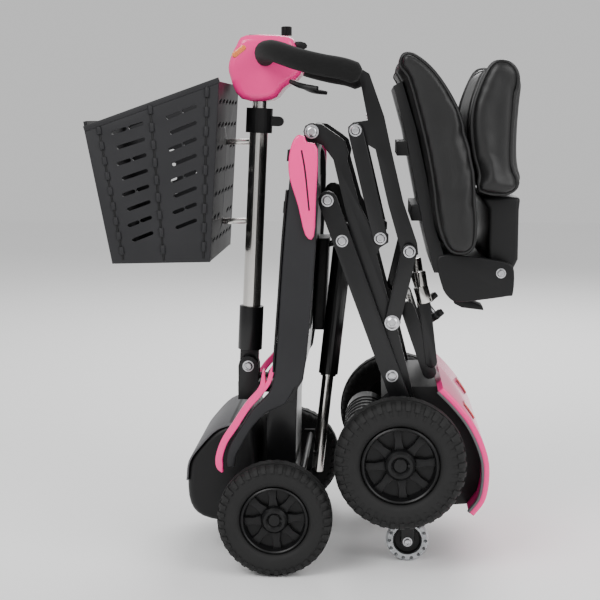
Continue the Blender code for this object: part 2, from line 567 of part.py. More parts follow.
def basket():
    def wall_point(top, foot, share):
        return tuple(a + (b - a) * share for a, b in zip(top, foot))

    side_outline = [BASKET_BACK_TOP, BASKET_BACK_FOOT, BASKET_FRONT_FOOT,
                    wall_point(BASKET_FRONT_TOP, BASKET_FRONT_FOOT, 0.06)]
    for name, side in SIDES:
        y_low, y_high = sided(side, BASKET_HALF - BASKET_WALL, BASKET_HALF)
        prism(f"basket_{name}_panel", side_outline, y_low, y_high, GREY_PANEL)
    inner_half = BASKET_HALF - BASKET_WALL - GAP
    walls = {"front": (BASKET_FRONT_TOP, BASKET_FRONT_FOOT, 1),
             "back": (BASKET_BACK_TOP, BASKET_BACK_FOOT, -1)}
    for name, (top, foot, inward) in walls.items():
        length = hypot(foot[0] - top[0], foot[1] - top[1])
        outline = [along(top, foot, 0.002), along(top, foot, length - 0.001),
                   along(top, foot, length - 0.001, inward * BASKET_WALL),
                   along(top, foot, 0.002, inward * BASKET_WALL)]
        panel = prism(f"basket_{name}_panel", outline, -inner_half, inner_half, GREY_PANEL)
        if name == "back":
            for z in BRACKET_ROD_HEIGHTS:
                x_tube = TILLER_PIVOT[0] + (z - TILLER_PIVOT[1]) * sin(TILLER_LEAN) - TUBE_RADIUS - 2 * GAP
                x_wall = BASKET_BACK_FOOT[0] + (z - BASKET_BACK_FOOT[1]) * BASKET_BACK_LEAN - BASKET_WALL / 2
                name_rod = f"bracket_rod_{int(z * 1000)}_solid"
                bracket = rod(name_rod, (x_wall, 0, z), (x_tube, 0, z), BRACKET_ROD_RADIUS, CHROME, 12)
                combine(panel, "UNION", bracket)
    box("basket_floor", (BASKET_FRONT_FOOT[0] + 0.0072, -inner_half, BASKET_FLOOR_TOP - 0.005),
        (BASKET_BACK_FOOT[0] - 0.0075, inner_half, BASKET_FLOOR_TOP), GREY_PANEL)


def tiller_head():
    rod("tiller_inner_tube", on_tiller(0.112), on_tiller(0.4335), INNER_TUBE_RADIUS, CHROME, 28)
    head = prism("head_cover", HEAD, -HEAD_HALF, HEAD_HALF, PINK)
    rounded(head, 0.014, 3)
    top = on_tiller(0.5385, 0.038)
    end = on_tiller(0.5535, 0.038)
    rod("speed_knob", top, end, 0.0085, BLACK_PLASTIC, 20)
    for name, side in SIDES:
        route = [(x, side * y, z) for x, y, z in GRIP_ROUTE]
        swept(f"handlebar_grip_{name}", smooth_path(route, 3), 0.0165, FOAM)
        lever = [(-0.012, 0.150, 0.752), (0.006, 0.178, 0.745), (0.030, 0.190, 0.741)]
        swept(f"throttle_lever_{name}", smooth_path([(x, side * y, z) for x, y, z in lever], 3), 0.0045,
              BLACK_PLASTIC, 10)


front_frame()
steering_knuckles()
wheels()
rear_frame()
rear_unit()
actuator()
seat_frame()
seat()
steering_stem()
tiller()
basket()
tiller_head()
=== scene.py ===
"""Finished surfaces of a folding mobility scooter, built around its fixed frame."""

import json
from math import atan2, cos, hypot, pi, radians, sin

import bmesh
import bpy
from bpy.props import FloatProperty, FloatVectorProperty, IntProperty, PointerProperty
from bpy.types import Operator, Panel, PropertyGroup
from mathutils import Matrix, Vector

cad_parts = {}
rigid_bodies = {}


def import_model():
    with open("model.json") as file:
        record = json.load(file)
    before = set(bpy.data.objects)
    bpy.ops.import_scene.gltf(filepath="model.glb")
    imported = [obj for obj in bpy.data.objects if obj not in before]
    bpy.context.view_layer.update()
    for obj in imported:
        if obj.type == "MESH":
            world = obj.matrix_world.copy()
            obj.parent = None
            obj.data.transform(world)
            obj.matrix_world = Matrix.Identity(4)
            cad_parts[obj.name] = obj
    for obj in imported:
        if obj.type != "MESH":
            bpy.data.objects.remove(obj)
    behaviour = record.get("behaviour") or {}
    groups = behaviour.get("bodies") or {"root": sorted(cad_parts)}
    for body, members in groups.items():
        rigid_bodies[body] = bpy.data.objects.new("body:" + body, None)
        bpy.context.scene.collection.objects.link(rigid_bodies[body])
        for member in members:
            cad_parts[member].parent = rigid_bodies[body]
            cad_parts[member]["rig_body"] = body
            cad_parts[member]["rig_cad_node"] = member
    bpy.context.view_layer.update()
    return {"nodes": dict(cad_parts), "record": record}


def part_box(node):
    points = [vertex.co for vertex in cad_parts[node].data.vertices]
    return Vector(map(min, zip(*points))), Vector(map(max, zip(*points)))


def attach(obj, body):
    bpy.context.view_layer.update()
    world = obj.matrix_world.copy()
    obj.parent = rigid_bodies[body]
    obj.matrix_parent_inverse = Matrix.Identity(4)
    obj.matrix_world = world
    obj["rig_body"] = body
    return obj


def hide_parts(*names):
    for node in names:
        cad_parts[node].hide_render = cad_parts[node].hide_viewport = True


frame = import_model()

bl_info = {
    "name": "Folding Scooter Builder",
    "version": (1, 0, 0),
    "blender": (4, 5, 0),
    "location": "3D View > Sidebar > Scooter",
    "description": "Builds the finished surfaces of a folding mobility scooter on its frame",
    "category": "Object",
}

SIDES = (("left", -1), ("right", 1))
SAME_PLACE = 1e-6
TYRE_POINTS = 28
TYRE_BLUNTNESS = 0.62
LIGHTENING_HOLES = 14
SPRING_POINTS = 12
KNOB_POINTS, KNOB_LOBES, KNOB_RADIUS, LOBE_HEIGHT = 40, 5, 0.0115, 0.0018
SPEED_KNOB_POINTS = 48
POST_Y = 0.105
BASKET_HINGE_Y = 0.1495
HINGE_KNUCKLES = 9
SLOTS_ACROSS, FIRST_SLOT_Y, SLOT_PITCH = 6, -0.115, 0.046
BRACKET_CLEARANCE = 0.02
PAD_VOXEL = 0.006
PAD_START_DEPTH, PAD_CAP = 0.006, 0.008
# Each light's name, place, power in watts and size in metres
LIGHTS = (("key", (-1.6, -2.4, 2.6), 90, 1.8), ("fill", (2.2, -1.8, 1.8), 45, 2.0),
          ("back", (0.6, 2.4, 2.4), 70, 1.8))
LIGHT_TARGET = (0, 0, 0.4)
WORLD_STRENGTH = 0.7
FLOOR_SIZE = 14
CAMERA_PLACE = (0.116, -2.22, 0.6965)
CAMERA_TURN = (radians(82.4), 0, radians(3.16))
CAMERA_LENS, CAMERA_SENSOR = 81.54, 36


def middle(node):
    low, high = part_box(node)
    return Vector([(a + b) / 2 for a, b in zip(low, high)])


# Settings -------------------------------------------------------------------


def colour(name, description, default):
    return FloatVectorProperty(name=name, description=description, subtype="COLOR", size=3, min=0, max=1,
                               default=default)


def length(name, description, default):
    return FloatProperty(name=name, description=description, unit="LENGTH", min=0, default=default)


class ScooterColours(PropertyGroup):
    paint: colour("Paint", "Gloss paint of the covers", (0.95, 0.030, 0.25))
    frame: colour("Frame", "Powder coat of the steel", (0.0040, 0.0040, 0.0044))
    plastic: colour("Plastic", "Moulded black parts", (0.0055, 0.0055, 0.0058))
    panel: colour("Panel", "Charcoal deck sides and basket", (0.0150, 0.0150, 0.0165))
    rubber: colour("Rubber", "Tyres", (0.0085, 0.0085, 0.0085))
    vinyl: colour("Vinyl", "Seat covers", (0.0045, 0.0045, 0.0046))
    floor: colour("Floor", "Studio floor", (0.93, 0.93, 0.93))


class ScooterSizes(PropertyGroup):
    tread_depth: length("Tread depth", "Height of the tread blocks", 0.0026)
    tread_count: IntProperty(name="Tread blocks", description="Blocks round one shoulder", min=12,
                             default=40)
    spokes: IntProperty(name="Spokes", description="Spokes of one rim", min=3, default=8)
    piping: length("Piping", "Radius of the seat piping", 0.0032)
    bolt: length("Bolt", "Radius of a linkage bolt head", 0.0075)
    slot: length("Slot", "Height of a basket slot", 0.0058)
    cushion_pull: FloatProperty(name="Cushion pressure", description="Pressure that fills the padding",
                                min=0, default=3.0)


def colours():
    return bpy.context.scene.scooter_colours


def sizes():
    return bpy.context.scene.scooter_sizes


# Shaders --------------------------------------------------------------------


class Wire:
    """A shader socket that takes part in Python arithmetic."""

    def __init__(self, look, socket):
        self.look, self.socket = look, socket

    def math(self, operation, *values):
        return self.look.add("ShaderNodeMath", {"operation": operation}, dict(enumerate(values)))

    def __add__(self, other):
        return self.math("ADD", self, other)

    def __mul__(self, other):
        return self.math("MULTIPLY", self, other)

    __radd__ = __add__
    __rmul__ = __mul__


class Look:
    """One material: a Principled shader, and the nodes that vary it over a surface."""

    def __init__(self, name, base, roughness, metallic=0.0, **sockets):
        self.material = bpy.data.materials.new(name)
        self.material.use_nodes = True
        self.tree = self.material.node_tree
        self.shader = self.tree.nodes["Principled BSDF"]
        values = {"Base Color": (*base, 1), "Roughness": roughness, "Metallic": metallic, **sockets}
        for socket, value in values.items():
            self.shader.inputs[socket].default_value = value

    def add(self, kind, settings, inputs, output=0):
        """A node of this kind, its settings made first, then the values or links of its sockets."""
        node = self.tree.nodes.new(kind)
        for key, value in settings.items():
            setattr(node, key, value)
        for key, value in inputs.items():
            if isinstance(value, Wire):
                self.tree.links.new(value.socket, node.inputs[key])
            else:
                node.inputs[key].default_value = value
        return Wire(self, node.outputs[output])

    def place(self, scale=(1, 1, 1)):
        spot = self.add("ShaderNodeTexCoord", {}, {}, "Object")
        return self.add("ShaderNodeMapping", {}, {"Vector": spot, "Scale": scale})

    def noise(self, scale, detail=2.0, stretch=(1, 1, 1), roughness=0.5):
        return self.add("ShaderNodeTexNoise", {}, {"Vector": self.place(stretch), "Scale": scale,
                                                   "Detail": detail,
                                                   "Roughness": roughness})

    def cells(self, scale, feature="DISTANCE_TO_EDGE"):
        return self.add("ShaderNodeTexVoronoi", {"feature": feature},
                        {"Vector": self.place(), "Scale": scale})

    def mix(self, mask, first, second):
        return self.add("ShaderNodeMix", {"data_type": "RGBA"},
                        {"Factor": mask, 6: (*first, 1), 7: (*second, 1)}, 2)

    def feed(self, socket, wire):
        self.tree.links.new(wire.socket, self.shader.inputs[socket])
        return self

    def bump(self, height, strength, distance):
        return self.feed("Normal", self.add("ShaderNodeBump", {},
                                            {"Height": height, "Strength": strength, "Distance": distance}))


def lighter(base, factor):
    return tuple(min(1.0, part * factor) for part in base)


def moulded(name, base, roughness, grain=1400, depth=0.25):
    """Textured moulding: a fine spark grain, with rubbed and dusty patches."""
    look = Look(name, base, roughness, **{"Specular IOR Level": 0.25})
    patches = look.noise(14, 4)
    look.feed("Base Color", look.mix(patches, lighter(base, 0.8), lighter(base, 1.35)))
    look.feed("Roughness", patches * 0.16 + (roughness - 0.08))
    return look.bump(look.noise(grain, 2), depth, 0.0004).material


def powder_coat():
    base = tuple(colours().frame)
    look = Look("frame_powder_coat", base, 0.32, **{"Specular IOR Level": 0.3, "Coat Weight": 0.15,
                                                    "Coat Roughness": 0.15})
    wear = look.noise(30, 5)
    look.feed("Base Color", look.mix(wear, lighter(base, 0.8), lighter(base, 1.6)))
    look.feed("Roughness", wear * 0.14 + 0.24)
    return look.bump(look.noise(420, 3), 0.16, 0.0004).material


def gloss_paint():
    base = tuple(colours().paint)
    look = Look("cover_gloss_paint", base, 0.30, **{"Specular IOR Level": 0.3, "Coat Weight": 0.35,
                                                    "Coat Roughness": 0.08})
    haze = look.noise(9, 3)
    look.feed("Base Color", look.mix(haze, lighter(base, 0.93), lighter(base, 1.06)))
    look.feed("Roughness", haze * 0.1 + 0.17)
    return look.bump(look.noise(240, 2), 0.05, 0.0003).material


def bright_metal(name, base, roughness, stretch):
    look = Look(name, base, roughness, 1.0)
    brushed = look.noise(220, 3, stretch)
    look.feed("Base Color", look.mix(brushed, lighter(base, 0.82), base))
    look.feed("Roughness", brushed * 0.14 + (roughness - 0.05))
    return look.bump(brushed, 0.05, 0.0002).material


def tyre_rubber():
    base = tuple(colours().rubber)
    look = Look("tyre_rubber", base, 0.72, **{"Specular IOR Level": 0.25})
    dust = look.noise(26, 6, roughness=0.65)
    look.feed("Base Color", look.mix(dust, lighter(base, 0.75), lighter(base, 1.9)))
    look.feed("Roughness", dust * 0.22 + 0.56)
    return look.bump(look.noise(900, 3), 0.3, 0.0004).material


def grip_foam():
    look = Look("grip_foam", (0.012, 0.012, 0.012), 0.95,
                **{"Specular IOR Level": 0.1, "Sheen Weight": 0.06, "Sheen Roughness": 0.6})
    pores = look.cells(900, "F1")
    look.feed("Base Color", look.mix(pores, (0.003, 0.003, 0.003), (0.011, 0.011, 0.011)))
    look.feed("Roughness", look.noise(60, 3) * 0.1 + 0.86)
    return look.bump(pores, 0.5, 0.0006).material


def seat_vinyl():
    """Grained vinyl: small pebbles, with creases on a larger scale."""
    base = tuple(colours().vinyl)
    look = Look("seat_vinyl", base, 0.42, **{"Specular IOR Level": 0.4})
    pebbles = look.cells(520)
    creases = look.noise(38, 5, roughness=0.6)
    look.feed("Base Color", look.mix(creases, lighter(base, 0.8), lighter(base, 1.5)))
    look.feed("Roughness", creases * 0.16 + 0.34)
    return look.bump(pebbles * 0.6 + creases * 0.5, 0.35, 0.0008).material


def clear_urethane():
    base = (0.62, 0.64, 0.66)
    look = Look("clear_urethane", base, 0.12, **{"Transmission Weight": 0.45, "IOR": 1.48})
    cloud = look.noise(60, 3)
    look.feed("Base Color", look.mix(cloud, lighter(base, 0.8), lighter(base, 1.2)))
    return look.feed("Roughness", cloud * 0.14 + 0.06).material


def lens(name, base):
    look = Look(name, base, 0.12, **{"Coat Weight": 0.6, "Coat Roughness": 0.05})
    prisms = look.cells(420, "F1")
    look.feed("Base Color", look.mix(prisms, lighter(base, 0.7), base))
    return look.bump(prisms, 0.35, 0.0006).material


LOOKS = {}


def make_looks():
    tone = colours()
    LOOKS.update(
        paint=gloss_paint(), steel=powder_coat(), rubber=tyre_rubber(), foam=grip_foam(),
        vinyl=seat_vinyl(),
        plastic=moulded("black_plastic", tuple(tone.plastic), 0.42),
        panel=moulded("charcoal_panel", tuple(tone.panel), 0.50, 900),
        rim=moulded("rim_plastic", lighter(tuple(tone.plastic), 0.9), 0.36, 1100, 0.15),
        grey=moulded("grey_trim", (0.10, 0.10, 0.105), 0.5),
        silver=bright_metal("zinc_bolt", (0.66, 0.66, 0.68), 0.28, (1, 1, 1)),
        chrome=bright_metal("polished_tube", (0.74, 0.72, 0.69), 0.16, (1, 1, 0.04)),
        clear=clear_urethane(), amber=lens("amber_lens", (0.95, 0.24, 0.05)),
        red=lens("red_lens", (0.75, 0.03, 0.03)),
    )


# Shapes ---------------------------------------------------------------------


def deselect():
    for made in bpy.context.selected_objects:
        made.select_set(False)


def only(*pieces):
    deselect()
    for piece in pieces:
        piece.select_set(True)
    bpy.context.view_layer.objects.active = pieces[0]


def edit(piece):
    """Edit mode on one piece, and its editable mesh."""
    only(piece)
    bpy.ops.object.mode_set(mode="EDIT")
    return bmesh.from_edit_mesh(piece.data)


def leave():
    bpy.ops.object.mode_set(mode="OBJECT")


def pick(piece, test, kind="faces"):
    """Edit mode with just the faces, edges or verts selected that pass the test."""
    mesh = edit(piece)
    bpy.ops.mesh.select_mode(type={"faces": "FACE", "edges": "EDGE", "verts": "VERT"}[kind])
    bpy.ops.mesh.select_all(action="DESELECT")
    for item in getattr(mesh, kind):
        item.select_set(test(item))
    mesh.select_flush_mode()
    bmesh.update_edit_mesh(piece.data)


def outward(piece):
    edit(piece)
    bpy.ops.mesh.select_all(action="SELECT")
    bpy.ops.mesh.remove_doubles(threshold=SAME_PLACE)
    bpy.ops.mesh.normals_make_consistent(inside=False)
    leave()


def with_modifier(piece, kind, **settings):
    only(piece)
    made = piece.modifiers.new(kind.title(), kind)
    for key, value in settings.items():
        setattr(made, key, value)
    bpy.ops.object.modifier_apply(modifier=made.name)


def dress(piece, look, body, name=None, replaced=(), angle=35):
    """Names a finished piece, gives it its material and body, and shades it smooth."""
    only(piece)
    bpy.ops.object.transform_apply(location=True, rotation=True, scale=True)
    if name:
        piece.name = piece.data.name = name
    piece.data.materials.clear()
    piece.data.materials.append(LOOKS[look])
    bpy.ops.object.shade_smooth_by_angle(angle=radians(angle))
    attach(piece, body)
    if replaced:
        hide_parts(*replaced)
    return piece


def join(*pieces):
    if len(pieces) > 1:
        only(*pieces)
        bpy.ops.object.join()
    return pieces[0]


def cut_out(piece, cutters):
    """Cuts the cutters' shapes from a piece and removes them."""
    cutter = join(*cutters)
    with_modifier(piece, "BOOLEAN", operation="DIFFERENCE", object=cutter)
    bpy.data.objects.remove(cutter, do_unlink=True)


def curve_point(a, b, c, d, t):
    """The point at share t from b to c of a Catmull-Rom curve."""
    return 0.5 * (2 * b + (c - a) * t + (2 * a - 5 * b + 4 * c - d) * t**2 + (3 * b - a - 3 * c + d) * t**3)


def smooth_loop(points, steps):
    """Closed Catmull-Rom curve through the points."""
    count, loop = len(points), []
    for i in range(count):
        a, b, c, d = (Vector(points[(i + k) % count]) for k in (-1, 0, 1, 2))
        for step in range(steps):
            loop.append(curve_point(a, b, c, d, step / steps))
    return loop


def smooth_line(points, steps):
    """Open Catmull-Rom curve from the first point to the last."""
    knots = [Vector(p) for p in points]
    knots = [2 * knots[0] - knots[1], *knots, 2 * knots[-1] - knots[-2]]
    line = []
    for a, b, c, d in zip(knots, knots[1:], knots[2:], knots[3:]):
        for step in range(steps):
            line.append(curve_point(a, b, c, d, step / steps))
    return [*line, knots[-2]]


def profile_ring(points):
    """A circle primitive whose corners are put at the points."""
    bpy.ops.mesh.primitive_circle_add(vertices=len(points), radius=1)
    piece = bpy.context.active_object
    for vert, point in zip(piece.data.vertices, points):
        vert.co = point
    return piece


def extruded(ring, move):
    """Fills a ring of points and draws it out into a closed solid."""
    edit(ring)
    bpy.ops.mesh.select_all(action="SELECT")
    bpy.ops.mesh.edge_face_add()
    bpy.ops.mesh.extrude_region_move(TRANSFORM_OT_translate={"value": tuple(move)})
    leave()
    outward(ring)
    return ring


def slab(outline, y_low, y_high, edge=0.0015, segments=2, steps=1):
    """A plate or block of the side view's outline, its rims bevelled."""
    points = smooth_loop(outline, steps) if steps > 1 else outline
    piece = extruded(profile_ring([(x, y_low, z) for x, z in points]), (0, y_high - y_low, 0))
    if edge:
        pick(piece, lambda e: abs(e.verts[0].co.y - e.verts[1].co.y) < SAME_PLACE, "edges")
        bpy.ops.mesh.bevel(offset=edge, segments=segments, affect="EDGES", clamp_overlap=True)
        leave()
    return piece


def turned(profile, centre, steps=64):
    """A profile of (radius, y) turned about the line through centre along Y."""
    x, y, z = centre
    piece = profile_ring([(x + r, y + off, z) for r, off in profile])
    edit(piece)
    bpy.ops.mesh.select_all(action="SELECT")
    bpy.ops.mesh.spin(steps=steps, angle=2 * pi, center=(x, y, z), axis=(0, 1, 0))
    leave()
    outward(piece)
    return piece


def swept(points, radius, sides=16, steps=4, taper=None):
    """A round bar along a smooth line, its ends capped."""
    line = smooth_line(points, steps)
    bpy.ops.curve.primitive_bezier_curve_add()
    piece = bpy.context.active_object
    curve = piece.data
    curve.splines.clear()
    spline = curve.splines.new("POLY")
    spline.points.add(len(line) - 1)
    for i, (knot, point) in enumerate(zip(spline.points, line)):
        knot.co = (*point, 1)
        knot.radius = taper(i / (len(line) - 1)) if taper else 1.0
    curve.dimensions = "3D"
    curve.bevel_depth = radius
    curve.bevel_resolution = max(1, sides // 4 - 1)
    curve.use_fill_caps = True
    only(piece)
    bpy.ops.object.convert(target="MESH")
    piece = bpy.context.active_object
    outward(piece)
    return piece


def rod(start, end, radius, vertices=24, edge=0.0006):
    """A turned rod between two points, its rims eased."""
    start, end = Vector(start), Vector(end)
    bpy.ops.mesh.primitive_cylinder_add(vertices=vertices, radius=radius, depth=(end - start).length,
                                        location=(start + end) / 2,
                                        rotation=(end - start).to_track_quat("Z", "Y").to_euler())
    piece = bpy.context.active_object
    pick(piece, lambda e: abs(e.verts[0].co.z - e.verts[1].co.z) < SAME_PLACE, "edges")
    bpy.ops.mesh.bevel(offset=min(edge, radius * 0.4), segments=2, affect="EDGES")
    leave()
    only(piece)
    bpy.ops.object.transform_apply(location=True, rotation=True, scale=True)
    return piece


def bolt_head(point, side, radius, height=0.005):
    """A domed cap screw on a washer, a round socket sunk in the dome."""
    x, y, z = point
    profile = [(0.0001, 0), (radius * 1.25, 0), (radius * 1.25, height * 0.22), (radius, height * 0.25),
               (radius * 0.95, height * 0.62),
               (radius * 0.74, height * 0.95), (radius * 0.54, height), (radius * 0.50, height * 0.3),
               (0.0001, height * 0.3)]
    return turned([(r, side * off) for r, off in profile], (x, y, z), 18)


def bar_outline(start, end, half_width, steps=8):
    turn = atan2(end[1] - start[1], end[0] - start[0])
    points = []
    for centre, first in ((end, turn - pi / 2), (start, turn + pi / 2)):
        for step in range(steps + 1):
            angle = first + pi * step / steps
            points.append((centre[0] + half_width * cos(angle), centre[1] + half_width * sin(angle)))
    return points


# Wheels ---------------------------------------------------------------------


def round_size(node):
    """The centre, radius and half width of a node that is round about Y."""
    low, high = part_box(node)
    return middle(node), (high[2] - low[2]) / 2, (high[1] - low[1]) / 2


def tyre(node, body, blocks_marked):
    """A carcass turned from a blunt section, with cleats on its shoulders and ribs round its crown."""
    centre, radius, half = round_size(node)
    depth, count = sizes().tread_depth, sizes().tread_count
    inner, outer = radius * 0.572, radius - depth
    mid = (inner + outer) / 2
    section = []
    for step in range(TYRE_POINTS):
        angle = 2 * pi * step / TYRE_POINTS
        blunt = [abs(part) ** TYRE_BLUNTNESS * (1 if part > 0 else -1) for part in (cos(angle), sin(angle))]
        section.append((mid + (outer - mid) * blunt[0], (half - depth * 0.6) * blunt[1]))
    piece = turned(section, centre, count * 4)
    crown, shoulder = outer - radius * 0.028, outer - radius * 0.13

    def sector(face):
        spot = face.calc_center_median() - centre
        return spot, hypot(spot.x, spot.z), (atan2(spot.z, spot.x) / (2 * pi) * count) % 1.0

    def cleat(face):
        spot, reach, part = sector(face)
        slant = (part + (0.5 if spot.y > 0 else 0.0)) % 1.0
        return shoulder < reach < crown + radius * 0.01 and slant < 0.5 and abs(spot.y) > half * 0.45

    def rib(face):
        spot, reach, _ = sector(face)
        return reach > crown and abs(spot.y) < half * 0.30

    def side_mark(face):
        _, reach, part = sector(face)
        return shoulder - radius * 0.09 < reach < shoulder - radius * 0.02 and part < 0.25

    for test, height in ((cleat, depth), (rib, depth * 0.8)):
        pick(piece, test)
        bpy.ops.mesh.extrude_region_shrink_fatten(TRANSFORM_OT_shrink_fatten={"value": height})
        leave()
    if blocks_marked:
        pick(piece, side_mark)
        bpy.ops.mesh.extrude_region_shrink_fatten(TRANSFORM_OT_shrink_fatten={"value": depth * 0.35})
        leave()
    dress(piece, "rubber", body, node + "_moulded", (node,), 30)


def rim(node, body, side):
    """A dished rim: a lipped outer ring, tapered spokes round open windows, and a capped hub."""
    centre, radius, half = round_size(node)
    hub = radius * 0.40
    ring = [(radius, -half * 0.80), (radius, half * 0.86), (radius * 0.965, half * 0.92),
            (radius * 0.93, half * 0.86),
            (radius * 0.90, half * 0.42), (radius * 0.875, half * 0.30), (radius * 0.86, -half * 0.80)]
    boss = [(0.0085, -half * 0.92), (0.0085, half * 0.60), (hub * 0.42, half * 0.72),
            (hub * 0.62, half * 0.95), (hub * 0.80, half * 0.98),
            (hub * 0.96, half * 0.80), (hub, half * 0.36), (hub * 1.04, half * 0.28),
            (hub * 1.04, -half * 0.92)]
    web = [(hub, half * 0.02), (radius * 0.88, half * 0.10), (radius * 0.88, -half * 0.12),
           (hub, -half * 0.18)]
    cap = [(0.0001, half * 0.86), (hub * 0.40, half * 0.84), (hub * 0.52, half * 0.74),
           (hub * 0.52, half * 0.50), (0.0001, half * 0.50)]
    parts = [turned([(r, side * off) for r, off in shape], centre, 72) for shape in (ring, boss, web, cap)]
    count = sizes().spokes
    inner, outer = hub * 0.98, radius * 0.90
    for k in range(count):
        angle = 2 * pi * k / count + radians(5)
        along, across = Vector((cos(angle), 0, sin(angle))), Vector((-sin(angle), 0, cos(angle)))
        corners = [(inner, 0.0075), ((inner + outer) / 2, 0.0052), (outer, 0.0072)]
        path = [*corners, *[(reach, -wide) for reach, wide in reversed(corners)]]
        inset = Vector((0, side * half * 0.02, 0))
        spoke = profile_ring([centre + along * reach + across * wide + inset for reach, wide in path])
        extruded(spoke, (0, side * half * 0.46, 0))
        pick(spoke, lambda e: abs(e.verts[0].co.y - e.verts[1].co.y) < SAME_PLACE, "edges")
        bpy.ops.mesh.bevel(offset=0.0014, segments=2, affect="EDGES")
        leave()
        parts.append(spoke)
    dress(join(*parts), "rim", body, node + "_spoked", (node,))
    # Painted shade: a black peg stands where the hub has a small dark hole.
    hole_shade_peg = rod(centre + Vector((hub * 0.55, side * half * 0.80, hub * 0.05)),
               centre + Vector((hub * 0.55, side * half * 0.955, hub * 0.05)),
               0.0022, 12)
    dress(hole_shade_peg, "plastic", body, node + "_valve_mark")


def transport_wheel(node, body):
    """A clear tyre with a ring of lightening holes, on a dark hub; its bright bolt is not made here."""
    centre, radius, half = round_size(node)
    ring = [(radius * 0.68, -half * 0.86), (radius * 0.68, half * 0.86), (radius * 0.80, half),
            (radius * 0.92, half * 0.92),
            (radius * 0.985, half * 0.60), (radius, 0), (radius * 0.985, -half * 0.60),
            (radius * 0.92, -half * 0.92), (radius * 0.80, -half)]
    piece = turned(ring, centre, 60)
    cutters = []
    for k in range(LIGHTENING_HOLES):
        angle = 2 * pi * k / LIGHTENING_HOLES
        spot = centre + Vector((cos(angle), 0, sin(angle))) * radius * 0.84
        bpy.ops.mesh.primitive_cylinder_add(vertices=14, radius=radius * 0.085, depth=half * 3,
                                            location=spot, rotation=(pi / 2, 0, 0))
        cutters.append(bpy.context.active_object)
    cut_out(piece, cutters)
    dress(piece, "clear", body, node + "_tyre", (node,))
    hub = [(0.0048, -half * 0.9), (0.0048, half * 0.9), (radius * 0.30, half * 0.9),
           (radius * 0.34, half * 0.5), (radius * 0.58, half * 0.42),
           (radius * 0.62, half * 0.80), (radius * 0.675, half * 0.80), (radius * 0.675, -half * 0.80),
           (radius * 0.62, -half * 0.80),
           (radius * 0.58, -half * 0.42), (radius * 0.34, -half * 0.5), (radius * 0.30, -half * 0.9)]
    dress(turned(hub, centre, 48), "plastic", body, node + "_hub")


class WheelsOperator(Operator):
    """Builds the treaded tyres, spoked rims and transport wheels"""

    bl_idname = "scooter.wheels"
    bl_label = "Wheels"

    def execute(self, context):
        for name, side in SIDES:
            for end in ("front", "rear"):
                tyre(f"{end}_tyre_{name}", f"{end}_wheel_{name}", end == "rear")
                rim(f"{end}_rim_{name}", f"{end}_wheel_{name}", side)
            transport_wheel(f"transport_wheel_{name}", f"transport_wheel_{name}")
        return {"FINISHED"}


# Deck and covers ------------------------------------------------------------

PANEL = [(-0.012, 0.6125), (-0.0215, 0.514), (-0.028, 0.422), (-0.036, 0.310), (-0.047, 0.276),
         (-0.068, 0.255),
         (-0.086, 0.228), (-0.1035, 0.200), (-0.1105, 0.178), (-0.1095, 0.163), (-0.0985, 0.163),
         (-0.0965, 0.178),
         (-0.088, 0.194), (-0.070, 0.226), (-0.046, 0.250), (-0.020, 0.262), (-0.005, 0.2875),
         (0.0074, 0.2985),
         (0.0166, 0.376), (0.027, 0.514), (0.030, 0.600), (0.027, 0.640), (0.012, 0.6580), (-0.004, 0.6540)]
PANEL_LIP = [(-0.0168, 0.590), (-0.0235, 0.514), (-0.0300, 0.422), (-0.0380, 0.312)]
CORNER_COVER = [(-0.0085, 0.660), (0.000, 0.672), (0.010, 0.671), (0.014, 0.662), (0.030, 0.6515),
                (0.0275, 0.5755),
                (0.0245, 0.521), (0.0115, 0.523), (0.0004, 0.568), (-0.012, 0.608), (-0.0135, 0.635)]
STRIPE = [(-0.0526, 0.315), (-0.0558, 0.2854), (-0.0776, 0.2585), (-0.0979, 0.2267), (-0.1136, 0.2027),
          (-0.1216, 0.1788),
          (-0.1212, 0.1629), (-0.1170, 0.1540)]
STRIPE_FORK = [(-0.0385, 0.322), (-0.0450, 0.296), (-0.0640, 0.270)]
NOSE = [(-0.0745, 0.205), (-0.100, 0.219), (-0.132, 0.208), (-0.158, 0.182), (-0.176, 0.156),
        (-0.180, 0.125),
        (-0.176, 0.086), (-0.156, 0.064), (-0.110, 0.055), (-0.0745, 0.055)]
COVER = [(0.222, 0.2885), (0.246, 0.264), (0.268, 0.236), (0.285, 0.203), (0.2945, 0.170), (0.2945, 0.135),
         (0.288, 0.108),
         (0.272, 0.086)]
COVER_THICK = 0.010


def flat(line):
    """The (x, z) points of a smooth line in the side view."""
    return [(p.x, p.z) for p in line]


def smooth_flat(points, steps=4):
    return flat(smooth_line([(x, 0, z) for x, z in points], steps))


def ribbon(points, half_width, steps=4, pointed=False):
    """The outline of a strip that follows a line, half its width to each side."""
    line = smooth_flat(points, steps)
    left, right = [], []
    for i, (x, z) in enumerate(line):
        (ax, az), (bx, bz) = line[max(i - 1, 0)], line[min(i + 1, len(line) - 1)]
        reach = hypot(bx - ax, bz - az)
        share = min(1.0, 0.25 + 5 * min(i, len(line) - 1 - i) / len(line)) if pointed else 1.0
        dx, dz = -(bz - az) / reach * half_width * share, (bx - ax) / reach * half_width * share
        left.append((x + dx, z + dz))
        right.append((x - dx, z - dz))
    return left + right[::-1]


def shifted(points, depth):
    """A line of points moved to the right of its own direction."""
    moved = []
    for i, (x, z) in enumerate(points):
        (ax, az), (bx, bz) = points[max(i - 1, 0)], points[min(i + 1, len(points) - 1)]
        reach = hypot(bx - ax, bz - az)
        moved.append((x + (bz - az) / reach * depth, z - (bx - ax) / reach * depth))
    return moved


def layer(side, inner, outer):
    return sorted((side * inner, side * outer))


def side_pair(name, side, outline, inner, outer, look, body, replaced=(), edge=0.0015, steps=1):
    piece = slab(outline, *layer(side, inner, outer), edge, 3, steps)
    return dress(piece, look, body, name, replaced)


